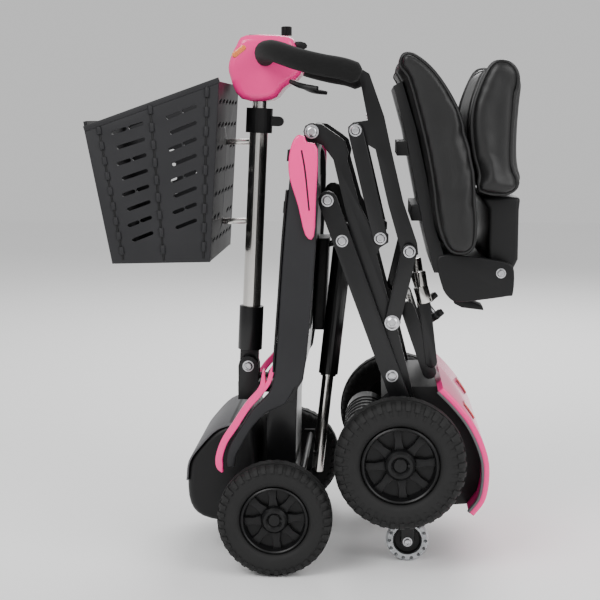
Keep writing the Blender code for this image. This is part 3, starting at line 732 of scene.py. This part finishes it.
class DeckOperator(Operator):
    """Builds the deck's side panels, its painted corners and stripes, the nose cover and the battery"""

    bl_idname = "scooter.deck"
    bl_label = "Deck and covers"

    def execute(self, context):
        for name, side in SIDES:
            side_pair(f"deck_edge_{name}", side, PANEL, 0.1575, 0.1797, "panel", "root",
                      (f"deck_side_panel_{name}",), 0.003, 2)
            side_pair(f"deck_edge_lip_{name}", side, ribbon(PANEL_LIP, 0.0016), 0.160, 0.1815, "plastic",
                      "root")
            side_pair(f"painted_corner_{name}", side, CORNER_COVER, 0.1800, 0.1880, "paint", "root",
                              (f"corner_cover_{name}",), 0.0035, 3)
            # Painted shade: a thin black strip laid along the groove in the pink corner cover.
            side_pair(f"corner_groove_{name}", side,
                      ribbon([(0.006, 0.6500), (0.0115, 0.6180), (0.0175, 0.5600)], 0.0012),
                      0.1872, 0.1884, "plastic", "root", edge=0.0004)
            stripe = slab(ribbon(STRIPE, 0.0055, pointed=True), *layer(side, 0.163, 0.1815), 0.0018, 3)
            fork = slab(ribbon(STRIPE_FORK, 0.0035, pointed=True), *layer(side, 0.172, 0.1810), 0.0012, 3)
            dress(join(stripe, fork), "paint", "root", f"fender_stripe_{name}")
        for x, z in ((0.0, 0.640), (-0.006, 0.560), (-0.010, 0.480), (-0.017, 0.400)):
            strap = slab([(x - 0.0215, z - 0.009), (x - 0.0165, z - 0.009), (x - 0.0150, z + 0.009),
                          (x - 0.0200, z + 0.009)],
                         -0.108, 0.108, 0.0012)
            dress(strap, "plastic", "root", f"deck_strip_{int(z * 1000)}")
        nose = slab(NOSE, -0.122, 0.122, 0.022, 6, 3)
        dress(nose, "plastic", "root", "nose_shell", ("nose_cover",))
        rim_line = slab(ribbon(NOSE[1:6], 0.0014), -0.1232, 0.1232, 0.0005)
        dress(rim_line, "grey", "root", "nose_rim")
        battery = slab([(0.0225, 0.500), (0.040, 0.500), (0.034, 0.345), (0.012, 0.345)], 0.030, 0.112,
                       0.005, 4)
        dress(battery, "plastic", "root", "battery_case", ("battery_pack",))
        handle = swept([(0.037, 0.050, 0.486), (0.048, 0.052, 0.489), (0.051, 0.071, 0.490),
                        (0.048, 0.090, 0.489), (0.037, 0.092, 0.486)],
                       0.0035, 12)
        dress(handle, "plastic", "root", "battery_handle")
        return {"FINISHED"}


class RearUnitOperator(Operator):
    """Builds the curved rear cover with its edge strips, lamps and motor trim"""

    bl_idname = "scooter.rear_unit"
    bl_label = "Rear unit"

    def execute(self, context):
        outer = smooth_flat(COVER)
        shell = slab(outer + shifted(outer, COVER_THICK)[::-1], -0.168, 0.168, 0.0035, 4)
        dress(shell, "paint", "rear_frame", "rear_shell", ("rear_cover",), 40)
        for name, side in SIDES:
            strip = slab(shifted(outer, 0.0085) + shifted(outer, 0.0125)[::-1],
                         *layer(side, 0.160, 0.1686), 0.0008)
            dress(strip, "grey", "rear_frame", f"rear_shell_strip_{name}")
            seat_of_lamp = [point for point in outer if 0.220 < point[1] < 0.252]
            lamp = slab(shifted(seat_of_lamp, -0.0030) + shifted(seat_of_lamp, 0.0020)[::-1],
                        *layer(side, 0.086, 0.114), 0.0024, 4)
            dress(lamp, "red", "rear_frame", f"tail_lamp_{name}")
            bezel = slab(shifted(seat_of_lamp, -0.0010) + shifted(seat_of_lamp, 0.0020)[::-1],
                         *layer(side, 0.0835, 0.1165), 0.0008)
            dress(bezel, "plastic", "rear_frame", f"tail_lamp_bezel_{name}")
        end_bell = [(0.0001, 0), (0.033, 0), (0.034, 0.003), (0.034, 0.010), (0.0325, 0.012),
                    (0.026, 0.013), (0.024, 0.0165), (0.0001, 0.0165)]
        bell = turned([(r, -off) for r, off in end_bell], (0.104, -0.0702, 0.195), 48)
        dress(bell, "plastic", "rear_frame", "motor_end_bell")
        for k in range(5):
            fin = turned([(0.0340, -0.0015), (0.0358, -0.0010), (0.0358, 0.0010), (0.0340, 0.0015)],
                         (0.104, -0.050 + k * 0.024, 0.195), 48)
            dress(fin, "steel", "rear_frame", f"motor_fin_{k}")
        return {"FINISHED"}


# Steel and fasteners --------------------------------------------------------

# Points of the side view where a bolt shows: (x, z), Y of the face it sits on, body, size
BOLTS = (
    ((0.0190, 0.6770), 0.1402, "root", 1.15), ((0.0855, 0.6790), 0.1462, "seat_links", 1.0),
    ((0.1244, 0.5150), 0.1462, "seat_links", 1.0), ((0.0436, 0.5730), 0.1522, "rear_frame", 1.0),
    ((0.0660, 0.5115), 0.1522, "rear_frame", 1.0), ((0.1440, 0.3030), 0.1522, "rear_frame", 1.0),
    ((0.1690, 0.4950), 0.1462, "seat_arms", 1.0), ((0.1435, 0.3850), 0.1462, "seat_arms", 1.25),
    ((0.3067, 0.4650), 0.1665, "seat", 0.8),
)
STEEL_EDGE = {"rear_frame": 0.0022, "side_bars": 0.0018, "seat_frame": 0.0016, "front_chassis": 0.0020,
              "seat_link_left": 0.0012,
              "seat_link_right": 0.0012, "seat_arm_left": 0.0012, "seat_arm_right": 0.0012,
              "seat_base": 0.0025,
              "backrest_post": 0.0060, "drive_housing": 0.0030, "seat_support": 0.0012,
              "steering_stem": 0.0014, "tiller_clamp": 0.0010, "transport_wheel_bracket": 0.0010,
              "front_axle_beam": 0.0014,
              "backrest_release_lever": 0.0015}


def frame_copy(node):
    """A copy of a node of the frame, with its own mesh."""
    source = frame["nodes"][node]
    piece = source.copy()
    piece.data = source.data.copy()
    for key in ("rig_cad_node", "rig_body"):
        if key in piece:
            del piece[key]
    piece.parent = None
    bpy.context.scene.collection.objects.link(piece)
    return piece


def eased(node, edge):
    """A copy of a CAD node with its loose triangles merged and its sharp edges rounded."""
    body = frame["nodes"][node]["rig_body"]
    piece = frame_copy(node)
    edit(piece)
    bpy.ops.mesh.select_all(action="SELECT")
    bpy.ops.mesh.remove_doubles(threshold=SAME_PLACE)
    bpy.ops.mesh.dissolve_limited(angle_limit=radians(0.5))
    leave()
    with_modifier(piece, "BEVEL", width=edge, segments=3, limit_method="ANGLE", angle_limit=radians(35),
                  use_clamp_overlap=True)
    return dress(piece, NODE_LOOK[node], body, node + "_eased", (node,))


def coil_spring(start, end, radius, wire, turns, y):
    path = []
    for step in range(turns * SPRING_POINTS + 1):
        share, angle = step / (turns * SPRING_POINTS), 2 * pi * step / SPRING_POINTS
        axis = Vector((end[0] - start[0], 0, end[1] - start[1])).normalized()
        across = Vector((-axis.z, 0, axis.x))
        spot = Vector((start[0], y, start[1])).lerp(Vector((end[0], y, end[1])), share)
        path.append(spot + across * radius * cos(angle) + Vector((0, 1, 0)) * radius * sin(angle))
    return swept(path, wire, 8, 1)


KNOB_AXIS = Vector((0.61, 0, -0.79))
KNOB_CENTRE = (0.2130, 0.3910)
SLEEVE_TOP, SLEEVE_FOOT = (0.1875, 0.4370), (0.1955, 0.4110)


def star_knob(side):
    """A clamping knob with five lobes, its axis square to the post that it clamps."""
    x, z = KNOB_CENTRE
    outline = []
    for step in range(KNOB_POINTS):
        angle = 2 * pi * step / KNOB_POINTS
        reach = KNOB_RADIUS + LOBE_HEIGHT * cos(KNOB_LOBES * angle)
        outline.append((reach * cos(angle), reach * sin(angle)))
    knob = slab(outline, -0.005, 0.005, 0.002, 3)
    knob.rotation_euler = KNOB_AXIS.to_track_quat("Y", "Z").to_euler()
    knob.location = (x, side * POST_Y, z)
    return knob


class SteelOperator(Operator):
    """Rounds the edges of the steel, and adds the bolts, springs, knobs and support posts"""

    bl_idname = "scooter.steel"
    bl_label = "Steel and fasteners"

    def execute(self, context):
        for node, edge in STEEL_EDGE.items():
            eased(node, edge)
        for k, ((x, z), face, body, share) in enumerate(BOLTS):
            for name, side in SIDES:
                head = bolt_head((x, side * face, z), side, sizes().bolt * share)
                dress(head, "silver", body, f"bolt_{k}_{name}")
        for name, side in SIDES:
            pin = bolt_head((-0.091, side * 0.0202, 0.292), side, sizes().bolt)
            dress(pin, "silver", "steering_stem", f"stem_bolt_{name}")
            caster = bolt_head((0.171, side * 0.1368, 0.034), side, sizes().bolt * 0.8)
            dress(caster, "silver", "rear_frame", f"transport_bolt_{name}")
            spring = coil_spring((0.106, 0.706), (0.116, 0.668), 0.0052, 0.0011, 8, side * 0.1145)
            dress(spring, "silver", "seat", f"latch_spring_{name}")
            dress(star_knob(side), "plastic", "rear_frame", f"star_knob_{name}")
            y = side * POST_Y
            stud_end = Vector((KNOB_CENTRE[0], y, KNOB_CENTRE[1])) - KNOB_AXIS * 0.022
            dress(rod(stud_end, (KNOB_CENTRE[0], y, KNOB_CENTRE[1]), 0.0032), "silver", "rear_frame",
                  f"star_knob_stud_{name}")
            post = slab(bar_outline((0.1950, 0.4080), (0.2060, 0.3180), 0.0092),
                        *layer(side, 0.0960, 0.1140), 0.0016)
            dress(post, "steel", "rear_frame", f"support_post_{name}")
            slide = rod((0.1865, y, 0.4600), (0.1950, y, 0.4090), 0.0088, 32, 0.0015)
            dress(slide, "chrome", "rear_frame", f"support_slide_{name}")
            sleeve = rod((SLEEVE_TOP[0], y, SLEEVE_TOP[1]), (SLEEVE_FOOT[0], y, SLEEVE_FOOT[1]), 0.0115,
                         32, 0.0012)
            dress(sleeve, "chrome", "rear_frame", f"support_sleeve_{name}")
        tie = rod((0.168, -0.101, 0.402), (0.168, 0.101, 0.402), 0.0092, 32)
        dress(tie, "chrome", "rear_frame", "support_tie")
        return {"FINISHED"}


# Seat -----------------------------------------------------------------------

CUSHION = [(0.140, 0.778), (0.156, 0.755), (0.177, 0.6855), (0.194, 0.611), (0.207, 0.536), (0.224, 0.492),
           (0.258, 0.492),
           (0.266, 0.520), (0.2633, 0.5775), (0.2548, 0.640), (0.233, 0.712), (0.1946, 0.772),
           (0.1535, 0.803)]
BACKREST_PAD = [(0.288, 0.785), (0.270, 0.746), (0.259, 0.702), (0.261, 0.650), (0.2685, 0.605),
                (0.271, 0.580), (0.332, 0.580),
                (0.327, 0.630), (0.3265, 0.680), (0.330, 0.740), (0.332, 0.767), (0.318, 0.787)]
CLOTH_FRAMES = 20


def shrunk(outline, depth):
    """An outline drawn in towards its own middle line by a fixed depth."""
    points = [Vector((x, 0, z)) for x, z in outline]
    moved = []
    for i, point in enumerate(points):
        ahead = (points[(i + 1) % len(points)] - points[i - 1]).normalized()
        moved.append(point + Vector((-ahead.z, 0, ahead.x)) * depth)
    return [(p.x, p.z) for p in moved]


def area(outline):
    return sum(a[0] * b[1] - b[0] * a[1] for a, b in zip(outline, outline[1:] + outline[:1])) / 2


def filled_pad(outline, half_width, start_depth, cap):
    """A cushion: a slightly small block filled by pressure, its swell held to a cap."""
    inward = start_depth if area(outline) > 0 else -start_depth
    piece = slab(shrunk(outline, inward), -half_width + start_depth, half_width - start_depth, 0.016, 4, 3)
    with_modifier(piece, "REMESH", mode="VOXEL", voxel_size=PAD_VOXEL)
    with_modifier(piece, "SMOOTH", factor=0.5, iterations=6)
    only(piece)
    start = [vert.co.copy() for vert in piece.data.vertices]
    made = piece.modifiers.new("Filling", "CLOTH")
    cloth = made.settings
    cloth.quality = 4
    cloth.mass = 0.3
    cloth.use_pressure = True
    cloth.uniform_pressure_force = sizes().cushion_pull
    cloth.effector_weights.gravity = 0
    made.point_cache.frame_start, made.point_cache.frame_end = 1, CLOTH_FRAMES
    for step in range(1, CLOTH_FRAMES + 1):
        bpy.context.scene.frame_set(step)
        bpy.context.view_layer.update()
    bpy.ops.object.modifier_apply(modifier=made.name)
    bpy.context.scene.frame_set(1)
    for vert, spot in zip(piece.data.vertices, start):
        move = vert.co - spot
        if move.length > cap:
            vert.co = spot + move * (cap / move.length)
    with_modifier(piece, "SMOOTH", factor=0.5, iterations=4)
    with_modifier(piece, "SUBSURF", levels=1, render_levels=1)
    return piece


def piping(pad, outline, y, depth, radius):
    """A corded seam that lies on the pad's surface round one of its sides."""
    loop = []
    for point in smooth_loop([(x, y, z) for x, z in shrunk(outline, depth)], 6):
        _, spot, normal, _ = pad.closest_point_on_mesh(point)
        loop.append(spot + normal * radius * 0.25)
    return swept(loop + loop[:2], radius, 12, 1)


HINGE_SHELL = [(0.2125, 0.4900), (0.2176, 0.4470), (0.2280, 0.4280), (0.2430, 0.4205), (0.2825, 0.4245),
               (0.3180, 0.4300),
               (0.3255, 0.4340), (0.3265, 0.4680), (0.3180, 0.4800), (0.2900, 0.4860), (0.2620, 0.4900)]
HINGE_MIDDLE = [(0.2220, 0.4890), (0.2260, 0.4320), (0.2430, 0.4222), (0.2800, 0.4262), (0.2805, 0.4860)]


def hinge_housing():
    """The moulded cradle under the cushion: two rounded cheeks on a bridging middle."""
    parts = [slab(HINGE_SHELL, *layer(side, 0.1500, 0.1664), 0.0040, 4, 3) for _, side in SIDES]
    parts.append(slab(HINGE_MIDDLE, -0.1520, 0.1520, 0.0030, 3))
    dress(join(*parts), "plastic", "seat", "hinge_cradle", ("backrest_hinge_housing",))


class SeatOperator(Operator):
    """Builds the hinge cradle, and the filled cushion and backrest with their piping"""

    bl_idname = "scooter.seat"
    bl_label = "Seat"

    def execute(self, context):
        hinge_housing()
        pads = (("seat_cushion", CUSHION, 0.205, "seat"), ("backrest_pad", BACKREST_PAD, 0.195, "backrest"))
        for node, outline, half, body in pads:
            pad = filled_pad(outline, half, PAD_START_DEPTH, PAD_CAP)
            dress(pad, "vinyl", body, f"{node}_cover", (node,), 60)
            for name, side in SIDES:
                for place, share in (("edge", 0.90), ("crown", 0.62)):
                    seam = piping(pad, outline, side * half * share, 0.0,
                                  sizes().piping * (1.0 if place == "edge" else 0.55))
                    dress(seam, "vinyl", body, f"{node}_{place}_piping_{name}")
        return {"FINISHED"}


# Tiller, basket and handlebar -----------------------------------------------

BASKET_SIDE = [(-0.121, 0.7545), (-0.137, 0.4775), (-0.2890, 0.4740), (-0.3290, 0.6808)]
# Slots of a basket side: each column runs from its top slot's ends to its bottom slot's ends
SLOT_COLUMNS = ((((-0.2839, 0.6754), (-0.2393, 0.6891)), ((-0.2577, 0.5098), (-0.2270, 0.5220))),
                (((-0.1993, 0.6982), (-0.1578, 0.7149)), ((-0.1901, 0.5296), (-0.1594, 0.5417))))
SLOT_ROWS = 8
HINGE_LINES = (((-0.227, 0.7200), (-0.2085, 0.4800)), ((-0.307, 0.6870), (-0.2716, 0.4800)),
               ((-0.139, 0.7470), (-0.147, 0.4830)))
BRACKET_RODS = {0.659: (-0.1265, -0.0895), 0.530: (-0.1335, -0.0955)}
GRIP_ROUTE = ((-0.058, 0.052, 0.794), (-0.054, 0.100, 0.799), (-0.036, 0.148, 0.797),
              (0.000, 0.183, 0.784), (0.036, 0.196, 0.775),
              (0.068, 0.200, 0.769), (0.093, 0.200, 0.760))
HEAD = [(-0.098, 0.728), (-0.050, 0.726), (-0.030, 0.745), (-0.004, 0.765), (0.000, 0.790),
        (-0.012, 0.812), (-0.024, 0.826),
        (-0.090, 0.828), (-0.106, 0.812), (-0.118, 0.785), (-0.116, 0.762)]


def between(first, second, share):
    return tuple(a + (b - a) * share for a, b in zip(first, second))


def side_slots(y_low, y_high):
    cutters = []
    for top, bottom in SLOT_COLUMNS:
        for row in range(SLOT_ROWS):
            share = row / (SLOT_ROWS - 1)
            start, end = between(top[0], bottom[0], share), between(top[1], bottom[1], share)
            gap = 0.0 if row % 2 else 0.18
            first = between(start, end, 0.0 if not row % 2 else 0.1), between(start, end, 0.5 - gap / 2)
            second = between(start, end, 0.5 + gap / 2), between(start, end, 1.0)
            for a, b in ((first, second) if gap else ((first[0], second[1]),)):
                cutters.append(slab(bar_outline(a, b, sizes().slot / 2, 5), y_low, y_high, 0))
    return cutters


class BasketOperator(Operator):
    """Builds the folding basket with its slots, hinge knuckles and rim"""

    bl_idname = "scooter.basket"
    bl_label = "Basket"

    def execute(self, context):
        for name, side in SIDES:
            panel = slab(BASKET_SIDE, *layer(side, 0.1440, 0.1500), 0.0012)
            cut_out(panel, side_slots(*layer(side, 0.135, 0.160)))
            dress(panel, "panel", "tiller", f"basket_side_{name}", (f"basket_{name}_panel",),
                  30)
            for k, (top, foot) in enumerate(HINGE_LINES):
                knuckles = []
                for part in range(HINGE_KNUCKLES):
                    a = between(top, foot, (part + 0.12) / HINGE_KNUCKLES)
                    b = between(top, foot, (part + 0.62) / HINGE_KNUCKLES)
                    knuckles.append(rod((a[0], side * BASKET_HINGE_Y, a[1]),
                                        (b[0], side * BASKET_HINGE_Y, b[1]), 0.0042, 16))
                dress(join(*knuckles), "panel", "tiller", f"basket_hinge_{k}_{name}")
                pin = rod((top[0], side * BASKET_HINGE_Y, top[1]),
                          (foot[0], side * BASKET_HINGE_Y, foot[1]), 0.0018, 12)
                dress(pin, "plastic", "tiller", f"basket_hinge_pin_{k}_{name}")
            lip = slab(ribbon([BASKET_SIDE[3], BASKET_SIDE[0]], 0.0042, 1), *layer(side, 0.1428, 0.1512),
                       0.0012)
            dress(lip, "panel", "tiller", f"basket_side_lip_{name}")
        for z, (x_wall, x_tube) in BRACKET_RODS.items():
            rod_cover = rod((x_wall, 0, z), (x_tube, 0, z), 0.0049, 24)
            dress(rod_cover, "chrome", "tiller", f"basket_bracket_{int(z * 1000)}")
        for wall in ("front", "back", "floor"):
            node = f"basket_{wall}_panel" if wall != "floor" else "basket_floor"
            piece = frame_copy(node)
            outward(piece)
            low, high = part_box(node)
            cutters = []
            for row in range(7 if wall != "floor" else 6):
                for column in range(SLOTS_ACROSS):
                    y = FIRST_SLOT_Y + SLOT_PITCH * column
                    if wall == "floor":
                        x = low.x + 0.018 + row * (high.x - low.x - 0.036) / 5
                        start, end = Vector((x, y - 0.013, low.z - 0.01)), Vector((x, y + 0.013,
                                                                                   low.z - 0.01))
                        push = Vector((0, 0, high.z - low.z + 0.02))
                        across = Vector((0.0032, 0, 0))
                    else:
                        z = low.z + 0.030 + row * (high.z - low.z - 0.060) / 6
                        near_bracket = any(abs(z - height) < BRACKET_CLEARANCE for height in BRACKET_RODS)
                        if wall == "back" and abs(y) < 0.03 and near_bracket:
                            continue
                        start, end = Vector((low.x - 0.01, y - 0.014, z - 0.002)), Vector((low.x - 0.01,
                                                                                           y + 0.014,
                                                                                           z + 0.002))
                        push = Vector((high.x - low.x + 0.02, 0, 0))
                        across = Vector((0, 0, 0.003))
                    cutter = profile_ring([start - across, end - across, end + (end - start) * 0.1,
                                           end + across, start + across,
                                           start - (end - start) * 0.1])
                    cutters.append(extruded(cutter, push))
            cut_out(piece, cutters)
            dress(piece, "panel", "tiller", f"basket_{wall}_slotted", (node,), 30)
        return {"FINISHED"}


class HandlebarOperator(Operator):
    """Builds the painted head with its lamps, knob and key, the foam grips and the throttle paddles"""

    bl_idname = "scooter.handlebar"
    bl_label = "Head and handlebar"

    def execute(self, context):
        head = slab(HEAD, -0.045, 0.045, 0.020, 6, 3)
        dress(head, "paint", "tiller_head", "head_shell", ("head_cover",), 60)
        console = slab([(-0.088, 0.8265), (-0.086, 0.8292), (-0.046, 0.8290), (-0.043, 0.8262)], -0.030,
                       0.030, 0.001, 3)
        dress(console, "plastic", "tiller_head", "console_pad")
        for name, side in SIDES:
            lamp = slab(bar_outline((-0.1075, 0.7970), (-0.0940, 0.8075), 0.0048),
                        *layer(side, 0.0300, 0.0458), 0.0018, 3)
            dress(lamp, "amber", "tiller_head", f"side_lamp_{name}")
        ribbed = []
        for step in range(SPEED_KNOB_POINTS):
            angle, reach = 2 * pi * step / SPEED_KNOB_POINTS, 0.0085 if step % 2 else 0.0076
            ribbed.append((reach * cos(angle), reach * sin(angle)))
        low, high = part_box("speed_knob")
        centre = (low + high) / 2
        knob = profile_ring([(centre.x + a, centre.y + b, low.z + 0.001) for a, b in ribbed])
        edit(knob)
        bpy.ops.mesh.select_all(action="SELECT")
        bpy.ops.mesh.edge_face_add()
        bpy.ops.mesh.extrude_region_move(TRANSFORM_OT_translate={"value": (0, 0, high.z - low.z - 0.002)})
        bpy.ops.mesh.inset(thickness=0.0012)
        bpy.ops.mesh.extrude_region_move(TRANSFORM_OT_translate={"value": (0, 0, 0.0008)})
        leave()
        outward(knob)
        dress(knob, "plastic", "speed_knob", "ribbed_knob", ("speed_knob",))
        key = slab([(-0.012, 0.8180), (0.004, 0.8160), (0.006, 0.8080), (-0.004, 0.8050),
                    (-0.014, 0.8080)], -0.0315, -0.0285, 0.0008, 2, 2)
        dress(key, "plastic", "tiller_head", "key_tab")
        for name, side in SIDES:
            route = [(x, side * y, z) for x, y, z in GRIP_ROUTE]

            def rounded_end(share):
                return min(1.0, 0.55 + 9 * min(share, 1 - share)) if share > 0.5 else min(1.0,
                                                                                          0.9 + 2 * share)

            grip = swept(route, 0.0165, 28, 6, rounded_end)
            dress(grip, "foam", "tiller_head", f"foam_grip_{name}", (f"handlebar_grip_{name}",), 50)
            collar = rod((-0.060, side * 0.038, 0.794), (-0.058, side * 0.053, 0.794), 0.0150, 40, 0.002)
            dress(collar, "plastic", "tiller_head", f"grip_collar_{name}")
            lever = [(-0.012, side * 0.150, 0.752), (0.006, side * 0.178, 0.745),
                     (0.030, side * 0.190, 0.741)]
            paddle = swept(lever, 0.0046, 16, 6, lambda share: 0.75 + 0.25 * sin(pi * share))
            dress(paddle, "plastic", f"throttle_lever_{name}", f"throttle_paddle_{name}",
                  (f"throttle_lever_{name}",))
        return {"FINISHED"}


# Stage, finishes and the panel ----------------------------------------------

SLOT_LOOK = {"pink": "paint", "frame_black": "steel", "polished": "chrome", "charcoal": "panel",
             "black_plastic": "plastic",
             "tyre_rubber": "rubber", "rim": "rim", "transport_wheel": "clear", "foam": "foam",
             "vinyl": "vinyl"}
NODE_SLOT = {part["node"]: part["material_slot"] for part in frame["record"]["subparts"]}
NODE_LOOK = {node: SLOT_LOOK[slot] for node, slot in NODE_SLOT.items()}


class FinishesOperator(Operator):
    """Makes every material and puts one on each part of the frame"""

    bl_idname = "scooter.finishes"
    bl_label = "Finishes"

    def execute(self, context):
        make_looks()
        for node, made in frame["nodes"].items():
            made.data.materials.clear()
            made.data.materials.append(LOOKS[NODE_LOOK[node]])
        return {"FINISHED"}


class StageOperator(Operator):
    """Lays the pale floor, hangs the soft lights and sets the camera"""

    bl_idname = "scooter.stage"
    bl_label = "Stage"

    def execute(self, context):
        deselect()
        bpy.ops.mesh.primitive_plane_add(size=FLOOR_SIZE, location=(0, 0, 0))
        floor = bpy.context.active_object
        floor.name = "studio_floor"
        base = tuple(colours().floor)
        floor.data.materials.append(Look("studio_floor", base, 0.6).material)
        world = bpy.data.worlds.new("soft_white")
        world.use_nodes = True
        world.node_tree.nodes["Background"].inputs["Color"].default_value = (1, 1, 1, 1)
        world.node_tree.nodes["Background"].inputs["Strength"].default_value = WORLD_STRENGTH
        context.scene.world = world
        for name, place, power, size in LIGHTS:
            bpy.ops.object.light_add(type="AREA", location=place)
            lamp = bpy.context.active_object
            lamp.name = lamp.data.name = f"{name}_light"
            lamp.data.energy, lamp.data.size = power, size
            lamp.rotation_euler = (Vector(LIGHT_TARGET) - Vector(place)).to_track_quat("-Z", "Y").to_euler()
        bpy.ops.object.camera_add(location=CAMERA_PLACE, rotation=CAMERA_TURN)
        camera = bpy.context.active_object
        camera.data.lens, camera.data.sensor_width = CAMERA_LENS, CAMERA_SENSOR
        context.scene.camera = camera
        return {"FINISHED"}


BUILDERS = (FinishesOperator, StageOperator, WheelsOperator, DeckOperator, RearUnitOperator, SteelOperator,
            BasketOperator,
            HandlebarOperator, SeatOperator)


class ScooterPanel(Panel):
    """Lists the settings and the steps that build the scooter"""

    bl_idname = "VIEW3D_PT_scooter"
    bl_label = "Scooter"
    bl_space_type = "VIEW_3D"
    bl_region_type = "UI"
    bl_category = "Scooter"

    def draw(self, context):
        for group in (context.scene.scooter_colours, context.scene.scooter_sizes):
            column = self.layout.column()
            for key in type(group).__annotations__:
                column.prop(group, key)
        for builder in BUILDERS:
            self.layout.operator(builder.bl_idname)


CLASSES = (ScooterColours, ScooterSizes, *BUILDERS, ScooterPanel)


def register():
    for made in CLASSES:
        bpy.utils.register_class(made)
    bpy.types.Scene.scooter_colours = PointerProperty(type=ScooterColours)
    bpy.types.Scene.scooter_sizes = PointerProperty(type=ScooterSizes)


def unregister():
    del bpy.types.Scene.scooter_colours
    del bpy.types.Scene.scooter_sizes
    for made in reversed(CLASSES):
        bpy.utils.unregister_class(made)


def main():
    register()
    for step in ("finishes", "stage", "wheels", "deck", "rear_unit", "steel", "basket", "handlebar",
                 "seat"):
        getattr(bpy.ops.scooter, step)()


if __name__ == "__main__":
    main()
